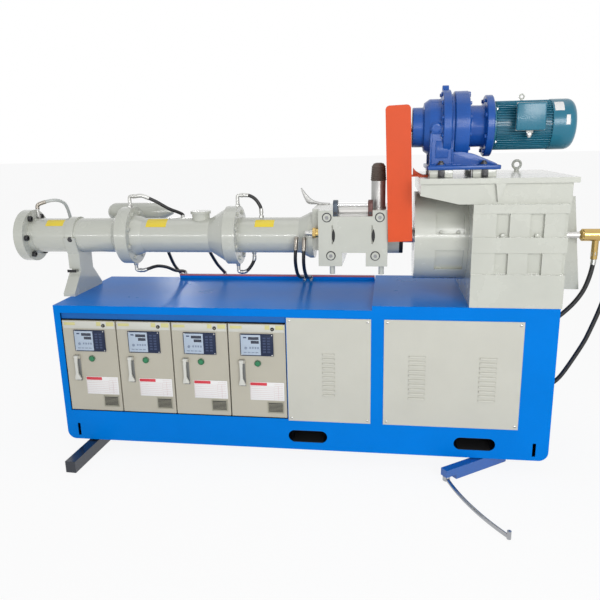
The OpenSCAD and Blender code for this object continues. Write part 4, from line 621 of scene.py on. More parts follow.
def add_hose_ends():
    """Crimped metal sleeves that follow both ends of each hose."""
    form = Form(SCREW, CRIMP)
    back = TO_FRAME.inverted()
    for name, line in hose_lines.items():
        radius = WIDE_HOSE_R if name.startswith("screw") else HOSE_R
        line = [back @ p for p in line]
        for points, long in ((line, FIRST_SLEEVE.get(name, FIRST_SLEEVE_L)), (line[::-1], LAST_SLEEVE_L)):
            points = along(points, long)
            rims = [radius + (RIDGE if i % 3 else GROOVE) for i in range(len(points))]
            rims[0] = rims[-1] = radius + SLEEVE_EDGE
            form.tube(points, rims, 20, int(name in CRIMPED and long > FIRST_SLEEVE_L))
    piece("hose_sleeves", form, "machine", crisp=60)


add_hose_ends()

# Doors and panels

DOOR_X0, DOOR_PITCH, DOOR_Y = -1066, 260, -306
FORWARD = (0, -1, 0)
SKIN = 0.9
BAND_X, BAND_Z = (3, 251), (617, 651)
PLATE_X, PLATE_Z = (88, 244), (298, 384)
RULES, RULE_PITCH, SHORT_RULES, SHORT_RULE_PITCH = 7, 9.2, 9, 8.6
GRILLE_X, GRILLE_Z, GRILLE_RIM, GRILLE_TILT = (166, 240), (237, 291), 5, 35
SLATS, SLAT_PITCH = 7, 6.1
FACE_X, FACE_Z, FACE_W, FACE_H = 53, 509, 148, 101
BUTTON_X, BUTTON_Z = 128, 473
HANDLE_X, HANDLE_PIN_Z, HANDLE_Y, HANDLE_THICK = 58, 482, -317, 9
DISH_HALF, DISH_Z = 13.2, (364, 490)


def add_band(i, x0, body):
    """The pale band over the controller with its bare patches and its plug."""
    band = Form(BAND, PALE_YELLOW, BLACK)
    band.block((x0 + BAND_X[0], DOOR_Y - 0.5, BAND_Z[0]), (x0 + BAND_X[1], DOOR_Y + 1, BAND_Z[1]), 0.4, 0)
    for start, end, low_z, high_z in ((8, 62, 632, 645), (165, 186, 630, 649), (212, 248, 630, 649)):
        band.block((x0 + start, DOOR_Y - SKIN, low_z), (x0 + end, DOOR_Y, high_z), 0.3, 1)
    plug = [(0, 8), (3.2, 8), (4, 7), (4, 2.2), (2.5, 2)]
    band.turned(plug, (x0 + 198, DOOR_Y, 632), FORWARD, 28, 2)
    piece(f"door_band_{i + 1}", band, body)


def add_white_plate(i, x0, body):
    """The bare white plate with a red bar and ruled lines."""
    plate_form = Form(WHITE, RED, RULED)
    left, right = x0 + PLATE_X[0], x0 + PLATE_X[1]
    base, top = PLATE_Z
    plate_form.block((left, DOOR_Y - 1.6, base), (right, DOOR_Y, top), 0.5, 0)
    plate_form.block((left + 2, DOOR_Y - 1.9, top - 16), (left + 78, DOOR_Y - 1.4, top - 2), 0.2, 1)

    def rule(start, low_z, end, high_z):
        plate_form.block((start, DOOR_Y - 1.85, low_z), (end, DOOR_Y - 1.4, high_z), 0.1, 2)

    for k in range(RULES):
        z = base + 9 + RULE_PITCH * k
        rule(left + 4, z, right - 50, z + 0.9)
    for k in range(SHORT_RULES):
        z = base + 8 + SHORT_RULE_PITCH * k
        rule(right - 44, z, right - 6, z + 1.1)
    for x in (right - 47, right - 27, left + 2):
        rule(x, base + 4, x + 1, top - 18)
    piece(f"white_plate_{i + 1}", plate_form, body)


def add_grille(i, x0, body):
    """A frame with tilted slats over a black sheet of painted shade for the opening."""
    grille = Form(VENT, BLACK)
    left, right = x0 + GRILLE_X[0], x0 + GRILLE_X[1]
    base, top = GRILLE_Z
    rim = GRILLE_RIM

    def bar(start, low_z, end, high_z):
        grille.block((start, DOOR_Y - 3.4, low_z), (end, DOOR_Y - 1, high_z), 0.8)

    bar(left, base, right, base + rim)
    bar(left, top - rim, right, top)
    bar(left, base + rim, left + rim, top - rim)
    bar(right - rim, base + rim, right, top - rim)
    for k in range(SLATS):
        at = Matrix.Translation((0, DOOR_Y - 2.6, base + 7.5 + SLAT_PITCH * k))
        tilt = at @ Matrix.Rotation(math.radians(GRILLE_TILT), 4, "X")
        grille.block((left + rim, -2.6, -0.6), (right - rim, 2.2, 0.6), 0.3, 0, 1, tilt)
    # Painted shade: a thin black sheet where the opening behind the slats is dark.
    grille.block((left + 4, DOOR_Y - 3.12, base + 4), (right - 4, DOOR_Y - 2.9, top - 4), 0, 1)
    piece(f"vent_grille_{i + 1}", grille, body)


def add_controller_face(i, x0, body):
    """The front of a temperature controller; places are shares of its face, from its top left corner."""
    face = Form(FACE, DISPLAY, KEY, NAVY, SCREW, MARK)
    left, base = x0 + FACE_X, FACE_Z

    def on_face(u0, v0, u1, v1, front, back, paint, soft=0.8):
        face.block((left + FACE_W * u0, DOOR_Y - front, base + FACE_H * (1 - v1)),
                   (left + FACE_W * u1, DOOR_Y - back, base + FACE_H * (1 - v0)), soft, paint)

    on_face(0.02, 0.04, 0.62, 0.96, 7.2, 5, 0)
    on_face(0.635, 0.04, 0.98, 0.96, 7.0, 5, 3)
    on_face(0.25, 0.13, 0.57, 0.26, 7.8, 7, 1)
    on_face(0.33, 0.30, 0.57, 0.43, 7.8, 7, 1)
    on_face(0.10, 0.13, 0.20, 0.19, 7.6, 7, 2, 0.3)
    for row in range(6):
        for column in range(2):
            u, v = 0.69 + 0.13 * column, 0.14 + 0.125 * row
            on_face(u, v, u + 0.09, v + 0.075, 8.4, 7, 2)
    for column in range(4):
        on_face(0.28 + 0.08 * column, 0.58, 0.33 + 0.08 * column, 0.67, 8.2, 7, 5)
        on_face(0.10 + 0.12 * column, 0.82, 0.19 + 0.12 * column, 0.86, 7.8, 7, 5, 0.3)
    knob = [(0, 6), (4, 6), (5, 5), (5, 2.5), (6, 2), (6, 0)]
    face.turned(knob, (left + FACE_W * 0.17, DOOR_Y - 5, base + FACE_H * 0.36), FORWARD, 28, 5)
    rivet, inset = [(0, 2.6), (1.2, 2.6), (1.6, 1.8), (1.6, 0)], 5
    for x in (left + inset, left + FACE_W - inset):
        for z in (base + inset, base + FACE_H - inset):
            face.turned(rivet, (x, DOOR_Y - 6, z), FORWARD, 14, 4)
    piece(f"controller_face_{i + 1}", face, body)


def add_button(i, x0, body):
    """The push-button's dome with its stem, and the collar on the door."""
    at = (x0 + BUTTON_X, DOOR_Y, BUTTON_Z)
    button = Form(GREEN)
    button.turned([(0, 11), (7.6, 11), (9.2, 10.2), (9.9, 7.5), (9.9, 0)], at, FORWARD, 32)
    button.turned([(-4.4, 13.8), (-3.3, 13.8), (-3.3, 10.8), (0, 10.8)], at, FORWARD, 32)
    piece(f"green_dome_{i + 1}", button, f"button_{i + 1}", [f"start_button_{i + 1}"])
    collar = Form(DARK_GREEN)
    collar.turned([(0, 15.2), (4.2, 15.2), (5.3, 14.2), (5.3, 11.8), (4, 11.4)], at, FORWARD, 36)
    piece(f"button_ring_{i + 1}", collar, body)


def add_handle(i, x0, body):
    """The swing handle with its hinge pin, and the shaded dish behind it."""
    handle = Form(HANDLE)
    x = x0 + HANDLE_X
    outline = softened([(-9, 482), (-10, 470), (-9.5, 452), (-9.5, 402), (-13, 390), (-16, 373), (16, 373),
                        (9, 390), (3, 402), (3, 452), (5, 470), (4, 482)], 4, True)
    handle.prism(outline, (x, HANDLE_Y, 0), (1, 0, 0), (0, 0, 1), HANDLE_THICK, 1.2, 0, 3)
    handle.turned([(-9.6, 7.5), (9.6, 7.5)], (x, HANDLE_Y - 2.5, HANDLE_PIN_Z), (1, 0, 0), 24)
    for side in (-1, 1):
        handle.turned([(10, 7), (13.6, 7), (13.9, 6)], (x, HANDLE_Y - 2, HANDLE_PIN_Z), (side, 0, 0), 20)
    piece(f"swing_handle_{i + 1}", handle, f"handle_{i + 1}", [f"door_handle_{i + 1}"],
          crisp=50)
    dish = Form(HANDLE_SHADE)
    dish.block((x - DISH_HALF, DOOR_Y - 4.3, DISH_Z[0]), (x + DISH_HALF, DOOR_Y - 3.8, DISH_Z[1]), 0.2)
    piece(f"handle_dish_{i + 1}", dish, body)


for i in range(4):
    for add_door_part in (add_band, add_white_plate, add_grille, add_controller_face, add_button, add_handle):
        add_door_part(i, DOOR_X0 + DOOR_PITCH * i, f"door_{i + 1}")

PANEL_Y = -313
PANELS_X = ((-25, 340), (395, 966))
PANEL_SCREW_Z, PANEL_SCREW_INSET = (221, 673), 14
LOUVRES_X = ((131.5, 183.5), (501.8, 569.8), (794.7, 862.7))
LOUVRES, LOUVRE_Z0, LOUVRE_PITCH = 10, 331, 21
FORK_SLOTS_X, FORK_SLOT_HALF, FORK_SLOT_Z = (60, 790), 87.5, (101.5, 158.5)
BAY_X = (-1068, -30)


def add_louvres():
    """Hoods that are pressed out of the panels, each with two closed ends."""
    form = Form(PANEL)
    hood = [(0, 9.5), (-2.6, 8.6), (-4.6, 5.8), (-5.4, 1.0), (-4.6, 0.8), (-3.8, 5.0), (-2.0, 7.4), (0, 8.2)]
    cheek = hood[:4] + [(0, 0.6)]
    for x0, x1 in LOUVRES_X:
        for k in range(LOUVRES):
            z = LOUVRE_Z0 + LOUVRE_PITCH * k
            form.prism(hood, (x1, PANEL_Y, z), (0, 1, 0), (0, 0, 1), -(x1 - x0), 0)
            for x in (x0 + 1, x1):
                form.prism(cheek, (x, PANEL_Y, z), (0, 1, 0), (0, 0, 1), -1, 0)
    piece("louvre_hoods", form, "machine", crisp=40)


def add_base_trim():
    """The strip over the doors in a darker blue of painted shade with a black line of painted shadow below
    it, the rail's cover, and black sheets of painted shade in the fork slots.
    """
    strip = Form(SHADED_STRIP_BLUE, BLACK)
    # Darker blue standing for the shade in the recess, and below it a black line of painted shadow.
    strip.block((BAY_X[0], -302.9, 660), (BAY_X[1], -301.8, 689), 0.3, 0)
    strip.block((BAY_X[0], -303.2, 655.5), (BAY_X[1], -301.8, 660), 0.3, 1)
    piece("recessed_strip", strip, "machine")
    rail = Form(RAIL_RED)
    rail.block((-699, 284.4, 739), (339, 300, 746.2), 1.0)
    piece("rail_cover", rail, "machine")
    # Black sheets at the top and bottom of each fork slot: painted shade.
    slots = Form(BLACK)
    for x in FORK_SLOTS_X:
        for z in (FORK_SLOT_Z[0], FORK_SLOT_Z[1] - 1.5):
            slots.block((x - FORK_SLOT_HALF, -308, z), (x + FORK_SLOT_HALF, 308, z + 1.5), 0)
    piece("fork_slot_painted_shade", slots, "machine")


def add_panel_screws():
    """Slotted round heads in the corners of the two panels."""
    screws = Form(SCREW, BLACK)
    head = [(0, 6), (1.6, 5.6), (2.6, 4), (2.9, 0)]
    for x0, x1 in PANELS_X:
        for x in (x0 + PANEL_SCREW_INSET, x1 - PANEL_SCREW_INSET):
            for z in PANEL_SCREW_Z:
                screws.turned(head, (x, PANEL_Y, z), FORWARD, 20)
                # The black bar across each head is the slot's painted shade.
                screws.block((x - 4, PANEL_Y - 3.1, z - 0.6), (x + 4, PANEL_Y - 2.2, z + 0.6), 0.1, 1)
    piece("panel_screw_heads", screws, "machine", ["panel_screws"])


add_louvres()
add_base_trim()
add_panel_screws()

# Barrel

BARREL_R = 82.5
BARREL_LABELS = ((-1234, -1145, 40, 70), (-726, -627, 35, 75), (-202, -113, 34.5, 65))
HEAD_BOLTS, HEAD_BOLT_R, HEAD_BOLT_X = 6, 100, -1323
SEAMS, SEAM_BOLTS, SEAM_BOLT_R = (-836, -321), 8, 111
SEAM_FRONT, SEAM_BACK = 21, 37
ARM_PINS = ((-969.1, -192.2), (929.94, -205.22))
LEG_BOLT = (-1100, -90, 992)
LEG_SLOT = ((-1133.5, -87.5, 830.5), (-1088.5, -84, 843.5))


def round_axis(radius, degrees, y=0, z=AXIS_Z):
    """Y and Z of a place on a circle round an axis that lies along X."""
    angle = math.radians(degrees)
    return y + radius * math.cos(angle), z + radius * math.sin(angle)


def add_barrel_trim():
    """The labels, the bolts of the head and the seams, and a black block of painted shade for the slot in the
    leg.
    """
    labels = Form(YELLOW)
    for x0, x1, start, end in BARREL_LABELS:
        labels.curved_patch(x0, x1, BARREL_R, (0, AXIS_Z), start, end)
    piece("barrel_labels", labels, "machine")

    bolts = Form(BOLT, GREY)
    for k in range(HEAD_BOLTS):
        at = (HEAD_BOLT_X, *round_axis(HEAD_BOLT_R, 60 * k))
        bolts.cap_screw(at, (1, 0, 0), 13.5, 15, 0, 10 * k)
        bolts.turned([(-20, 6.7), (1, 6.7)], at, (1, 0, 0), 20)
    for seam in SEAMS:
        for k in range(SEAM_BOLTS):
            place = round_axis(SEAM_BOLT_R, 22.5 + 45 * k)
            bolts.hex_bolt((seam + SEAM_BACK, *place), (1, 0, 0), 10.5, 8, 1, 7 * k)
            bolts.hex_bolt((seam - SEAM_FRONT, *place), (-1, 0, 0), 10.5, 8, 1, 11 * k)
    bolts.hex_bolt(LEG_BOLT, FORWARD, 11, 7)
    for x, y in ARM_PINS:
        bolts.turned([(5, 10), (7, 12), (65, 12)], (x, y, 0), (0, 0, 1), 32)
    piece("hex_bolts", bolts, "machine", ["machine_bolts"])

    # Painted shade: a black block where the slot in the leg is dark.
    slot = Form(BLACK)
    slot.block(*LEG_SLOT, 0)
    piece("leg_slot", slot, "machine")


add_barrel_trim()

# Feed housing

COVER_Y = -162
COVER_SCREWS = ((141.4, 1100), (370, 1100), (158, 932), (351.5, 932))
LENS_X, LENS_Z, LENS_HALF, LENS_R, LENS_TURN = (170, 343), 1020, 62, 69, 33
POSTS_X, POST_W = (168, 319), 20
CHROME_BAR_R, CHROME_BAR_AT = 12.5, (0, -130, 1152)
GUIDE_Y, GUIDE_W = 116, 26
ADJUSTER_AT = (361, -69.4, 0)
BOOT_FOLDS, BOOT_Z, BOOT_FOLD = 7, 1250, 9


def add_cover_screws():
    """Dark collars of painted shade round grey heads, whose hexagon sockets are painted darker as shade in
    the recess, on the cover.
    """
    screws = Form(GREY, BOLT, CAST)
    collar = [(0, 21), (0.8, 21), (1, 20), (1, 17.6)]
    head = [(0.5, 16.6), (8, 16.6), (9.4, 15.2), (9.4, 8.6, 6)]
    socket = [(9.4, 8.6, 6), (5, 8.4, 6), (4.6, 0)]
    for x, z in COVER_SCREWS:
        at = (x, COVER_Y, z)
        # The collar's dark bolt colour is painted shadow round the head; the socket's darker colour is
        # painted shade.
        screws.turned(collar, at, FORWARD, 36, 1)
        screws.turned(head, at, FORWARD, 36, 0, opening="last")
        screws.turned(socket, at, FORWARD, 36, 2, opening="first")
    piece("cover_screws", screws, "machine", ["machine_bolts"], weld=True)


def add_cover_slots():
    """Thin black lens-shaped sheets on the cover's slots, painted shade."""
    slots = Form(BLACK)
    turn = LENS_TURN
    lens = arc((-LENS_HALF, 0), LENS_R, -turn, turn, 8)[1:-1]
    lens += arc((LENS_HALF, 0), LENS_R, 180 - turn, 180 + turn, 8)[1:-1]
    for x in LENS_X:
        # Each sheet is painted shade standing for the dark inside of a slot.
        slots.prism(lens, (x, COVER_Y - 0.4, LENS_Z), (1, 0, 0), (0, 0, 1), 0.6, 0)
    piece("cover_slots", slots, "machine")


def add_roll_posts():
    """Two posts with a chrome bar between them."""
    bracket = Form(BLUED, REDDISH, CHROME, BOLT)
    outline = softened([(COVER_Y, 1104), (-104, 1104), (-104, 1160), (-116, 1172), (-150, 1172),
                        (COVER_Y, 1160)], 6, True)
    for paint, x in enumerate(POSTS_X):
        bracket.prism(outline, (x + POST_W, 0, 0), (0, 1, 0), (0, 0, 1), -POST_W, 1.6, paint)
        bracket.hex_bolt((x + POST_W / 2, COVER_Y, 1118), FORWARD, 6, 4, 3)
    start, end, radius = POSTS_X[0] + POST_W, POSTS_X[1], CHROME_BAR_R
    bracket.turned([(start, radius - 1.5), (start + 1, radius), (end - 1, radius), (end, radius - 1.5)],
                   CHROME_BAR_AT, (1, 0, 0), 32, 2)
    piece("roll_posts", bracket, "machine", ["roll_bracket"])


def add_strip_guide():
    """The curved horn that leads the strip to the roll."""
    guide = Form(STAINLESS)
    upper = softened([(-8, 1207), (12, 1180), (32, 1158), (54, 1144), (84, 1137), (127, 1134)], 8)
    lower = softened([(127, 1130.2), (70, 1130), (34, 1130), (18, 1136), (4, 1164), (-11, 1205)], 8)
    guide.prism(upper + lower, (0, GUIDE_Y, 0), (1, 0, 0), (0, 0, 1), -GUIDE_W, 1)
    piece("strip_guide_horn", guide, "machine", ["roll_bracket"])


def add_roll_adjuster():
    """The upright cylinder with its pleated boot."""
    tube = Form(STAINLESS, BOOT)
    tube.turned([(1130, 34), (1136, 34), (1137, 31), (1250, 31), (1252, 30)], ADJUSTER_AT, (0, 0, 1), 40)
    boot = [(1248, 30)]
    for k in range(BOOT_FOLDS):
        z = BOOT_Z + BOOT_FOLD * k
        boot += [(z, 31.8 - 0.5 * k), (z + BOOT_FOLD / 2, 35.2 - 0.7 * k)]
    boot += [(1314, 27), (1322, 22), (1325.5, 12), (1325.5, 0)]
    tube.turned(boot, ADJUSTER_AT, (0, 0, 1), 40, 1)
    piece("roll_adjuster", tube, "machine", ["feed_cylinder"])


def add_neck_ring():
    """The dark ring between the feed housing and the gearbox bell."""
    ring = Form(BLACK)
    ring.turned([(455, 82), (471, 82), (472, 80), (472, 52), (455, 52)], (0, 0, AXIS_Z), (1, 0, 0), 64)
    piece("neck_ring", ring, "machine")


add_cover_screws()
add_cover_slots()
add_roll_posts()
add_strip_guide()
add_roll_adjuster()
add_neck_ring()

# Water fittings

ROD_Y, ROD_Z = -124.7, 1027.5
SIDE_STUBS_Z = (600, 280)
TANK_Y, TANK_Z, TANK_R, TANK_X = 184, 1092, 46, -973
TANK_PIPE_X = -962


def add_fitting(form, a, b, radius=11):
    """A hexagon nut at a, then a pipe end with a collar at b."""
    a, b = Vector(a), Vector(b)
    long = (b - a).length
    nut = min(14, long * 0.5)
    form.turned([(0, radius, 6), (nut * 0.9, radius, 6), (nut, radius * 0.85), (nut, radius * 0.72),
                 (long * 0.9, radius * 0.72), (long * 0.9, radius * 0.9), (long, radius * 0.9)],
                a, b - a, 24, 0)


def add_elbow(form, a, corner, b):
    """A nut at a, a bent pipe over the corner, and a collar near b."""
    a, corner, b = Vector(a), Vector(corner), Vector(b)
    form.turned([(0, 11, 6), (12, 11, 6), (13, 9)], a, corner - a, 24, 0)
    form.tube(eased(softened([a, corner, b], 12), 3), 8.6, 16, 0)
    form.turned([(0, 9), (1, 10.4), (9, 10.4), (10, 9)], b + (corner - b) * 0.4, b - corner, 20, 0)


def add_fittings():
    """The pipe ends of all hoses, the rods of the cover and the tank behind the barrel."""
    form = Form(SCREW, BRASS, GREY)
    add_fitting(form, (-1301, 0, 1083), (-1301, 0, 1130))
    add_fitting(form, (-1203, 80, AXIS_Z), (-1203, 100, AXIS_Z))
    for x, flange_z, z, end in ((-821.5, 1134, 1186, -798), (-292, 1134, 1186, -264),
                                (-816.7, 866, 826, -790), (-301.7, 866, 822, -284)):
        add_elbow(form, (x, 0, flange_z), (x, 0, z), (end, 0, z))
    for x, turn in ((-590, 45), (-680, 135), (-470, 135)):
        out = Vector((0, math.sin(math.radians(turn)), math.cos(math.radians(turn))))
        foot = Vector((x, 0, AXIS_Z))
        add_fitting(form, foot + out * 80, foot + out * 94.75)
    add_fitting(form, (-181, 0, 1081), (-181, 0, 1104))
    add_fitting(form, (-222, 0, 919), (-222, 0, 900))
    add_fitting(form, (-2, -94, AXIS_Z), (-2, -104, AXIS_Z))
    add_fitting(form, (36, -105, AXIS_Z), (36, -122, AXIS_Z))
    for z in SIDE_STUBS_Z:
        form.turned([(HALF_L, 15.4, 6), (HALF_L + 15, 15.4, 6), (HALF_L + 16, 13), (STUB_X1, 12.6)],
                    (0, 0, z), (1, 0, 0), 24, 1)
    form.turned([(74, 20), (75, 23.6, 6), (88, 23.6, 6), (89, 20), (103, 20)], (0, ROD_Y, ROD_Z),
                (1, 0, 0), 24, 1)
    form.turned([(74, 13), (62, 13), (60, 11), (40, 11)], (0, ROD_Y, ROD_Z), (1, 0, 0), 24, 0)
    dome = [(TANK_X + a, b) for a, b in arc((0, 0), TANK_R, 180, 90, 9)]
    dome[0] = (TANK_X - TANK_R, 0)
    tank = dome + [(-743, TANK_R), (-738, 45), (-674, 12), (-674, 0)]
    form.turned(tank, (0, TANK_Y, TANK_Z), (1, 0, 0), 40, 2)
    drop = Vector((TANK_PIPE_X, TANK_Y, TANK_Z))
    way = Vector((TANK_PIPE_X, 0, AXIS_Z)) - drop
    form.tube([drop + way.normalized() * 20, drop + way * 0.62], 11, 16, 2)
    piece("pipe_fittings", form, "machine", ["hose_fittings"])


def add_union():
    """The rotary union with its hexagons, and the pipe end under it."""
    union = Form(BRASS, SCREW)
    body = [(1234, 14), (1240, 20), (1243, 27, 6), (1262, 27, 6), (1264, 22), (1268, 25), (1296, 25),
            (1298, 27, 6), (1314, 27, 6), (1317, 22), (1320, 14), (1320, 0)]
    union.turned(body, (0, 0, AXIS_Z), (1, 0, 0), 36, 0)
    outlet = [(0, 16, 6), (16, 16, 6), (18, 12), (70, 12), (74, 15, 6), (90, 15, 6), (92, 12), (106, 12)]
    union.turned(outlet, (1304, 0, 998), (0, 0, -1), 24, 1)
    piece("union_body", union, "machine")


add_fittings()
add_union()

# Feed drive

DRIVE_Y, DRIVE_Z = -80, 1468
DRIVE_AT = (0, DRIVE_Y, DRIVE_Z)
REDUCER_R, MOTOR_R = 113, 100
LUG_X, LUG_Z = 646, 1584
REDUCER_RINGS = ((620, 134, 12, 8, -1), (725, 126, 12, 7, 1), (792, 108, 8, 8, -1))
GAUGE_AT, GAUGE_AXIS = (592, DRIVE_Y, DRIVE_Z), (0, -1, -0.05)
FEET_X, FEET_Y = (615, 785), (-208, 48)
FOOT_Z, CRADLE_X = 1298, (569, 664)
FINS, FIN_HALF = 52, 1.4


def add_reducer_casing(form):
    """The turned casing with its lug, flange bolts and bands."""
    casing = [(500, 58), (500, 79), (502, 81), (541, 81), (544, 84), (547, 98), (566, 111), (570, 113),
              (614, 113), (618, 116), (620, 122), (620, 146), (623, 149), (650, 149), (653, 146),
              (653, 132), (656, 130), (664, 130), (667, 132), (667, 139), (670, 142), (722, 142),
              (725, 139), (725, 100), (728, 90), (734, 84), (780, 83), (788, 88), (792, 96), (792, 119),
              (795, 123), (819, 123), (822, 120), (822, 0)]
    form.turned(casing, DRIVE_AT, (1, 0, 0), 96)
    lug = softened([(-20, 1606), (-16, 1624), (-8, 1634), (8, 1634), (16, 1624), (20, 1606)], 5, True)
    form.prism([(DRIVE_Y + a, b) for a, b in lug], (LUG_X, 0, 0), (0, 1, 0), (0, 0, 1), -26, 2)
    form.block((714, DRIVE_Y - 20, LUG_Z), (734, DRIVE_Y + 20, LUG_Z + 22), 4)
    for x, radius, count, size, side in REDUCER_RINGS:
        for k in range(count):
            at = (x, *round_axis(radius, 360 * (k + 0.5) / count, DRIVE_Y, DRIVE_Z))
            form.hex_bolt(at, (side, 0, 0), size, 7, 0, 13 * k)
    centre = (DRIVE_Y, DRIVE_Z)
    form.curved_patch(574, 604, REDUCER_R, centre, 58, 78, 0.6, 10)
    form.curved_patch(656, 664, 131, centre, -70, 88, 0.6, 24)
    form.curved_patch(674, 708, 142, centre, -62, -16, 0.6, 16)
    form.turned([(104, 26), (112, 26), (118, 19), (122, 19), (123, 17), (123, 12)], GAUGE_AT, GAUGE_AXIS, 32)
    form.turned([(118, 12.5), (121, 12), (122, 0)], GAUGE_AT, GAUGE_AXIS, 24, 1)
    form.block((606, DRIVE_Y - 122, 1440), (650, DRIVE_Y - 100, 1476), 3)


def add_reducer_cradle(form):
    """The foot plate, the cheeks with their frame, and the web under the casing."""
    front, back = DRIVE_Y - REDUCER_R, DRIVE_Y + REDUCER_R
    x0, x1 = CRADLE_X
    foot = softened([(559, front - 50), (849, front - 50), (849, back + 50), (559, back + 50)], 14, True)
    form.prism(foot, (0, 0, FOOT_Z), (1, 0, 0), (0, 1, 0), 17, 3)
    for y0 in (front - 4, back - 18):
        form.block((x0, y0, 1310), (x1, y0 + 22, 1466), 3)
    for start, end, low_z in ((x0, x0 + 7, 1310), (x1 - 7, x1, 1310), (x0, x1, 1440)):
        form.block((start, front - 6, low_z), (end, front, 1452), 2)
    form.block((578, front - 5.4, 1322), (655, front - 4.6, 1438), 0)
    form.block((592, front - 8, 1344), (642, front - 3, 1412), 3)
    form.block((632, front + 10, 1310), (650, back - 10, 1400), 3)
    web = softened([(640, 1306), (842, 1306), (842, 1318), (742, 1360), (700, 1368), (640, 1368)], 12, True)
    form.prism(web, (0, back - 4, 0), (1, 0, 0), (0, 0, 1), 2 * REDUCER_R - 8, 5)
    for x in FEET_X:
        for y in FEET_Y:
            form.turned([(1314, 20), (1318, 19)], (x, y, 0), (0, 0, 1), 28)


def add_reducer():
    form = Form(REDUCER, GLASS)
    add_reducer_casing(form)
    add_reducer_cradle(form)
    piece("reducer_casing", form, "machine", ["reducer"])


def add_motor():
    """The flange, the cooling fins, the fan cowl and the terminal box with its gland."""
    form = Form(TEAL, BLACK, SCREW, WHITE)
    flange = [(822, 60), (822, 96), (824, 98), (831, 98), (833, 95), (833, 88), (1050, 88)]
    form.turned(flange, DRIVE_AT, (1, 0, 0), 64)
    for k in range(FINS):
        turn = Matrix.Translation(DRIVE_AT) @ Matrix.Rotation(math.radians(360 * (k + 0.5) / FINS), 4, "X")
        form.block((834, -FIN_HALF, 85), (1048, FIN_HALF, 97.6), 0.8, 0, 1, turn)
    cowl = [(1047, 93), (1047, 99), (1049, MOTOR_R), (1114, MOTOR_R), (1126, 97), (1136, 89), (1142, 78),
            (1146, 62), (1147, 40), (1147, 0)]
    form.turned(softened(cowl, 4), DRIVE_AT, (1, 0, 0), 64)
    # Black rings on the cowl's end are painted shade for its openings.
    for k in range(5):
        rim = 52 - 9 * k
        ring = [(1146, rim), (1147, rim - 0.5), (1147, rim - 2.5), (1146, rim - 3)]
        form.turned(ring, DRIVE_AT, (1, 0, 0), 48, 1)
    form.block((905, -219, 1452), (999, -150, 1542), 6)
    form.block((897, -231, 1445), (1008, -215, 1550), 6, 0, 3)
    form.block((897, -218, 1444), (1008.5, -213, 1551), 2, 2)
    gland = [(0, 15, 6), (12, 15, 6), (13, 12), (22, 12), (24, 8), (30, 7)]
    form.turned(gland, (953, -200, 1448), (0, 0, -1), 24, 2)
    form.curved_patch(1054, 1090, MOTOR_R, (DRIVE_Y, DRIVE_Z), 31, 58, 0.5, 12, 3)
    form.curved_patch(1096, 1111, MOTOR_R, (DRIVE_Y, DRIVE_Z), -2, 20, 0.5, 8, 3)
    for k in range(4):
        form.hex_bolt((832, *round_axis(90, 45 + 90 * k, DRIVE_Y, DRIVE_Z)), (1, 0, 0), 7, 6, 2)
    piece("motor_body", form, "machine", ["feed_motor"])


def add_mounts():
    """Blocks on the gearbox lid that carry the feet, with their studs and nuts."""
    form = Form(GREY, BOLT)
    for x in FEET_X:
        for y in FEET_Y:
            form.block((x - 46, y - 30, FOOT_Z - 30), (x + 46, y + 30, FOOT_Z), 2)
            form.turned([(1268, 8), (1331, 8), (1333, 7)], (x, y, 0), (0, 0, 1), 20, 1)
            form.hex_bolt((x, y, 1315), (0, 0, 1), 13, 12, 1, 12)
        form.block((x - 13, -247, 1269), (x + 13, -238, 1297), 2, 1)
        form.hex_bolt((x, -246, 1283), FORWARD, 9, 8, 1)
    piece("mount_blocks", form, "machine", ["motor_mounts"])


add_reducer()
add_motor()
add_mounts()

# Gearbox and arms

BELL_BOLTS = ((628, -186), (698, -186))
PLUGS_X, PLUG_Y, PLUG_Z = (857.6, 989.9), -298, 1041
ARM_PIN = (668.0, -402.6, 21)


def add_gearbox_trim():
    """Bolts and plugs on the gearbox front, and the guard's small bracket."""
    form = Form(GREY)
    for x, y in BELL_BOLTS:
        form.hex_bolt((x, y, 1040), FORWARD, 7, 6)
    for x in PLUGS_X:
        form.turned([(0, 9), (4, 9), (6, 6), (6.5, 0)], (x, PLUG_Y, PLUG_Z), FORWARD, 28)
    piece("gearbox_bolts", form, "machine")
    wedge = Form(ORANGE)
    outline = [(507, 1268.6), (507, 1304), (519, 1290), (533, 1281), (550, 1274), (550, 1268.6)]
    wedge.prism(outline, (0, -112, 0), (1, 0, 0), (0, 0, 1), -14, 1)
    piece("guard_bracket", wedge, "machine")


def add_arm_nut():
    nut = Form(SCREW)
    nut.hex_bolt(ARM_PIN, (0, 0, 1), 11, 8)
    piece("arm_nut", nut, "right_arm")


add_gearbox_trim()
add_arm_nut()

# Studio

FILL = 0.42
WHITE_SHARE = 0.9
FLOOR_HALF, FLOOR_GAP = 80, 0.0005
# Place, aim and size of each lamp in metres, and its power in watts.
LAMPS = (
    ("key", (2.3, -4.6, 2.6), (0.3, 0, 0.85), (2.4, 1.6), 114),
    ("front_strip", (-0.4, -5.0, 1.5), (-0.4, 0.2, 0.95), (7, 0.07), 64),
    ("top", (0, 0.6, 4.4), (0, 0.2, 0), (4, 2), 16),
    ("window", (-3.1, 7.2, 2.5), (-0.6, 0.3, 0.7), (0.5, 0.6), 9),
)

def seen_rays(nodes, links):
    """1 for rays of the camera, of a reflection or through glass."""
    path = nodes.new("ShaderNodeLightPath")
    total = path.outputs["Is Camera Ray"]
    for kind in ("Is Glossy Ray", "Is Transmission Ray"):
        add = nodes.new("ShaderNodeMath")
        add.operation = "ADD"
        add.use_clamp = True
        links.new(total, add.inputs[0])
        links.new(path.outputs[kind], add.inputs[1])
        total = add.outputs["Value"]
    return total


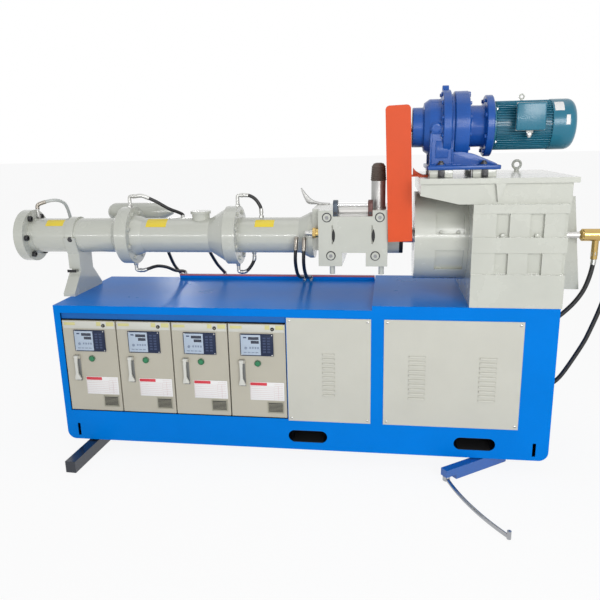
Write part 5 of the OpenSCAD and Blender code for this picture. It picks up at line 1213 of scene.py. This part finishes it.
def white_floor():
    """Most of what the camera sees of the floor is plain white, the rest keeps the shadow."""
    material = finish("studio_floor", (0.93, 0.93, 0.93), 0.85, mottle=0.003, bump=0.0, edge=0, patches=1)
    nodes, links = material.node_tree.nodes, material.node_tree.links
    share = nodes.new("ShaderNodeMath")
    share.operation = "MULTIPLY"
    share.inputs[1].default_value = WHITE_SHARE
    links.new(seen_rays(nodes, links), share.inputs[0])
    white = nodes.new("ShaderNodeEmission")
    mix = nodes.new("ShaderNodeMixShader")
    links.new(share.outputs["Value"], mix.inputs["Fac"])
    links.new(nodes["Principled BSDF"].outputs["BSDF"], mix.inputs[1])
    links.new(white.outputs["Emission"], mix.inputs[2])
    links.new(mix.outputs["Shader"], nodes["Material Output"].inputs["Surface"])
    return material


def add_floor():
    sheet = bpy.data.meshes.new("floor")
    size, z = FLOOR_HALF, cad_box[0][2] - FLOOR_GAP
    sheet.from_pydata([(-size, -size, z), (size, -size, z), (size, size, z), (-size, size, z)], [],
                      [(0, 1, 2, 3)])
    sheet.materials.append(white_floor())
    ground = bpy.data.objects.new("floor", sheet)
    bpy.context.collection.objects.link(ground)


def add_world():
    """White where the camera or a reflection looks past the machine, and a faint fill light."""
    world = bpy.data.worlds.new("studio")
    bpy.context.scene.world = world
    world.use_nodes = True
    nodes, links = world.node_tree.nodes, world.node_tree.links
    nodes.clear()
    out = nodes.new("ShaderNodeOutputWorld")
    mix = nodes.new("ShaderNodeMixShader")
    seen = nodes.new("ShaderNodeBackground")
    seen.inputs["Color"].default_value = (1, 1, 1, 1)
    seen.inputs["Strength"].default_value = 1
    fill = nodes.new("ShaderNodeBackground")
    fill.inputs["Color"].default_value = (0.95, 0.97, 1, 1)
    fill.inputs["Strength"].default_value = FILL
    links.new(seen_rays(nodes, links), mix.inputs["Fac"])
    links.new(fill.outputs["Background"], mix.inputs[1])
    links.new(seen.outputs["Background"], mix.inputs[2])
    links.new(mix.outputs["Shader"], out.inputs["Surface"])


def add_lamp(name, at, aim, size, power):
    data = bpy.data.lights.new(name, "AREA")
    data.shape = "RECTANGLE"
    data.size, data.size_y = size
    data.energy = power
    light = bpy.data.objects.new(name, data)
    light.location = at
    light.rotation_euler = (Vector(aim) - Vector(at)).to_track_quat("-Z", "Y").to_euler()
    light.visible_camera = False
    bpy.context.collection.objects.link(light)


bpy.context.scene.view_settings.view_transform = "Standard"
add_floor()
add_world()
for lamp in LAMPS:
    add_lamp(*lamp)
for mesh in MODELLED.values():
    bpy.data.meshes.remove(mesh)
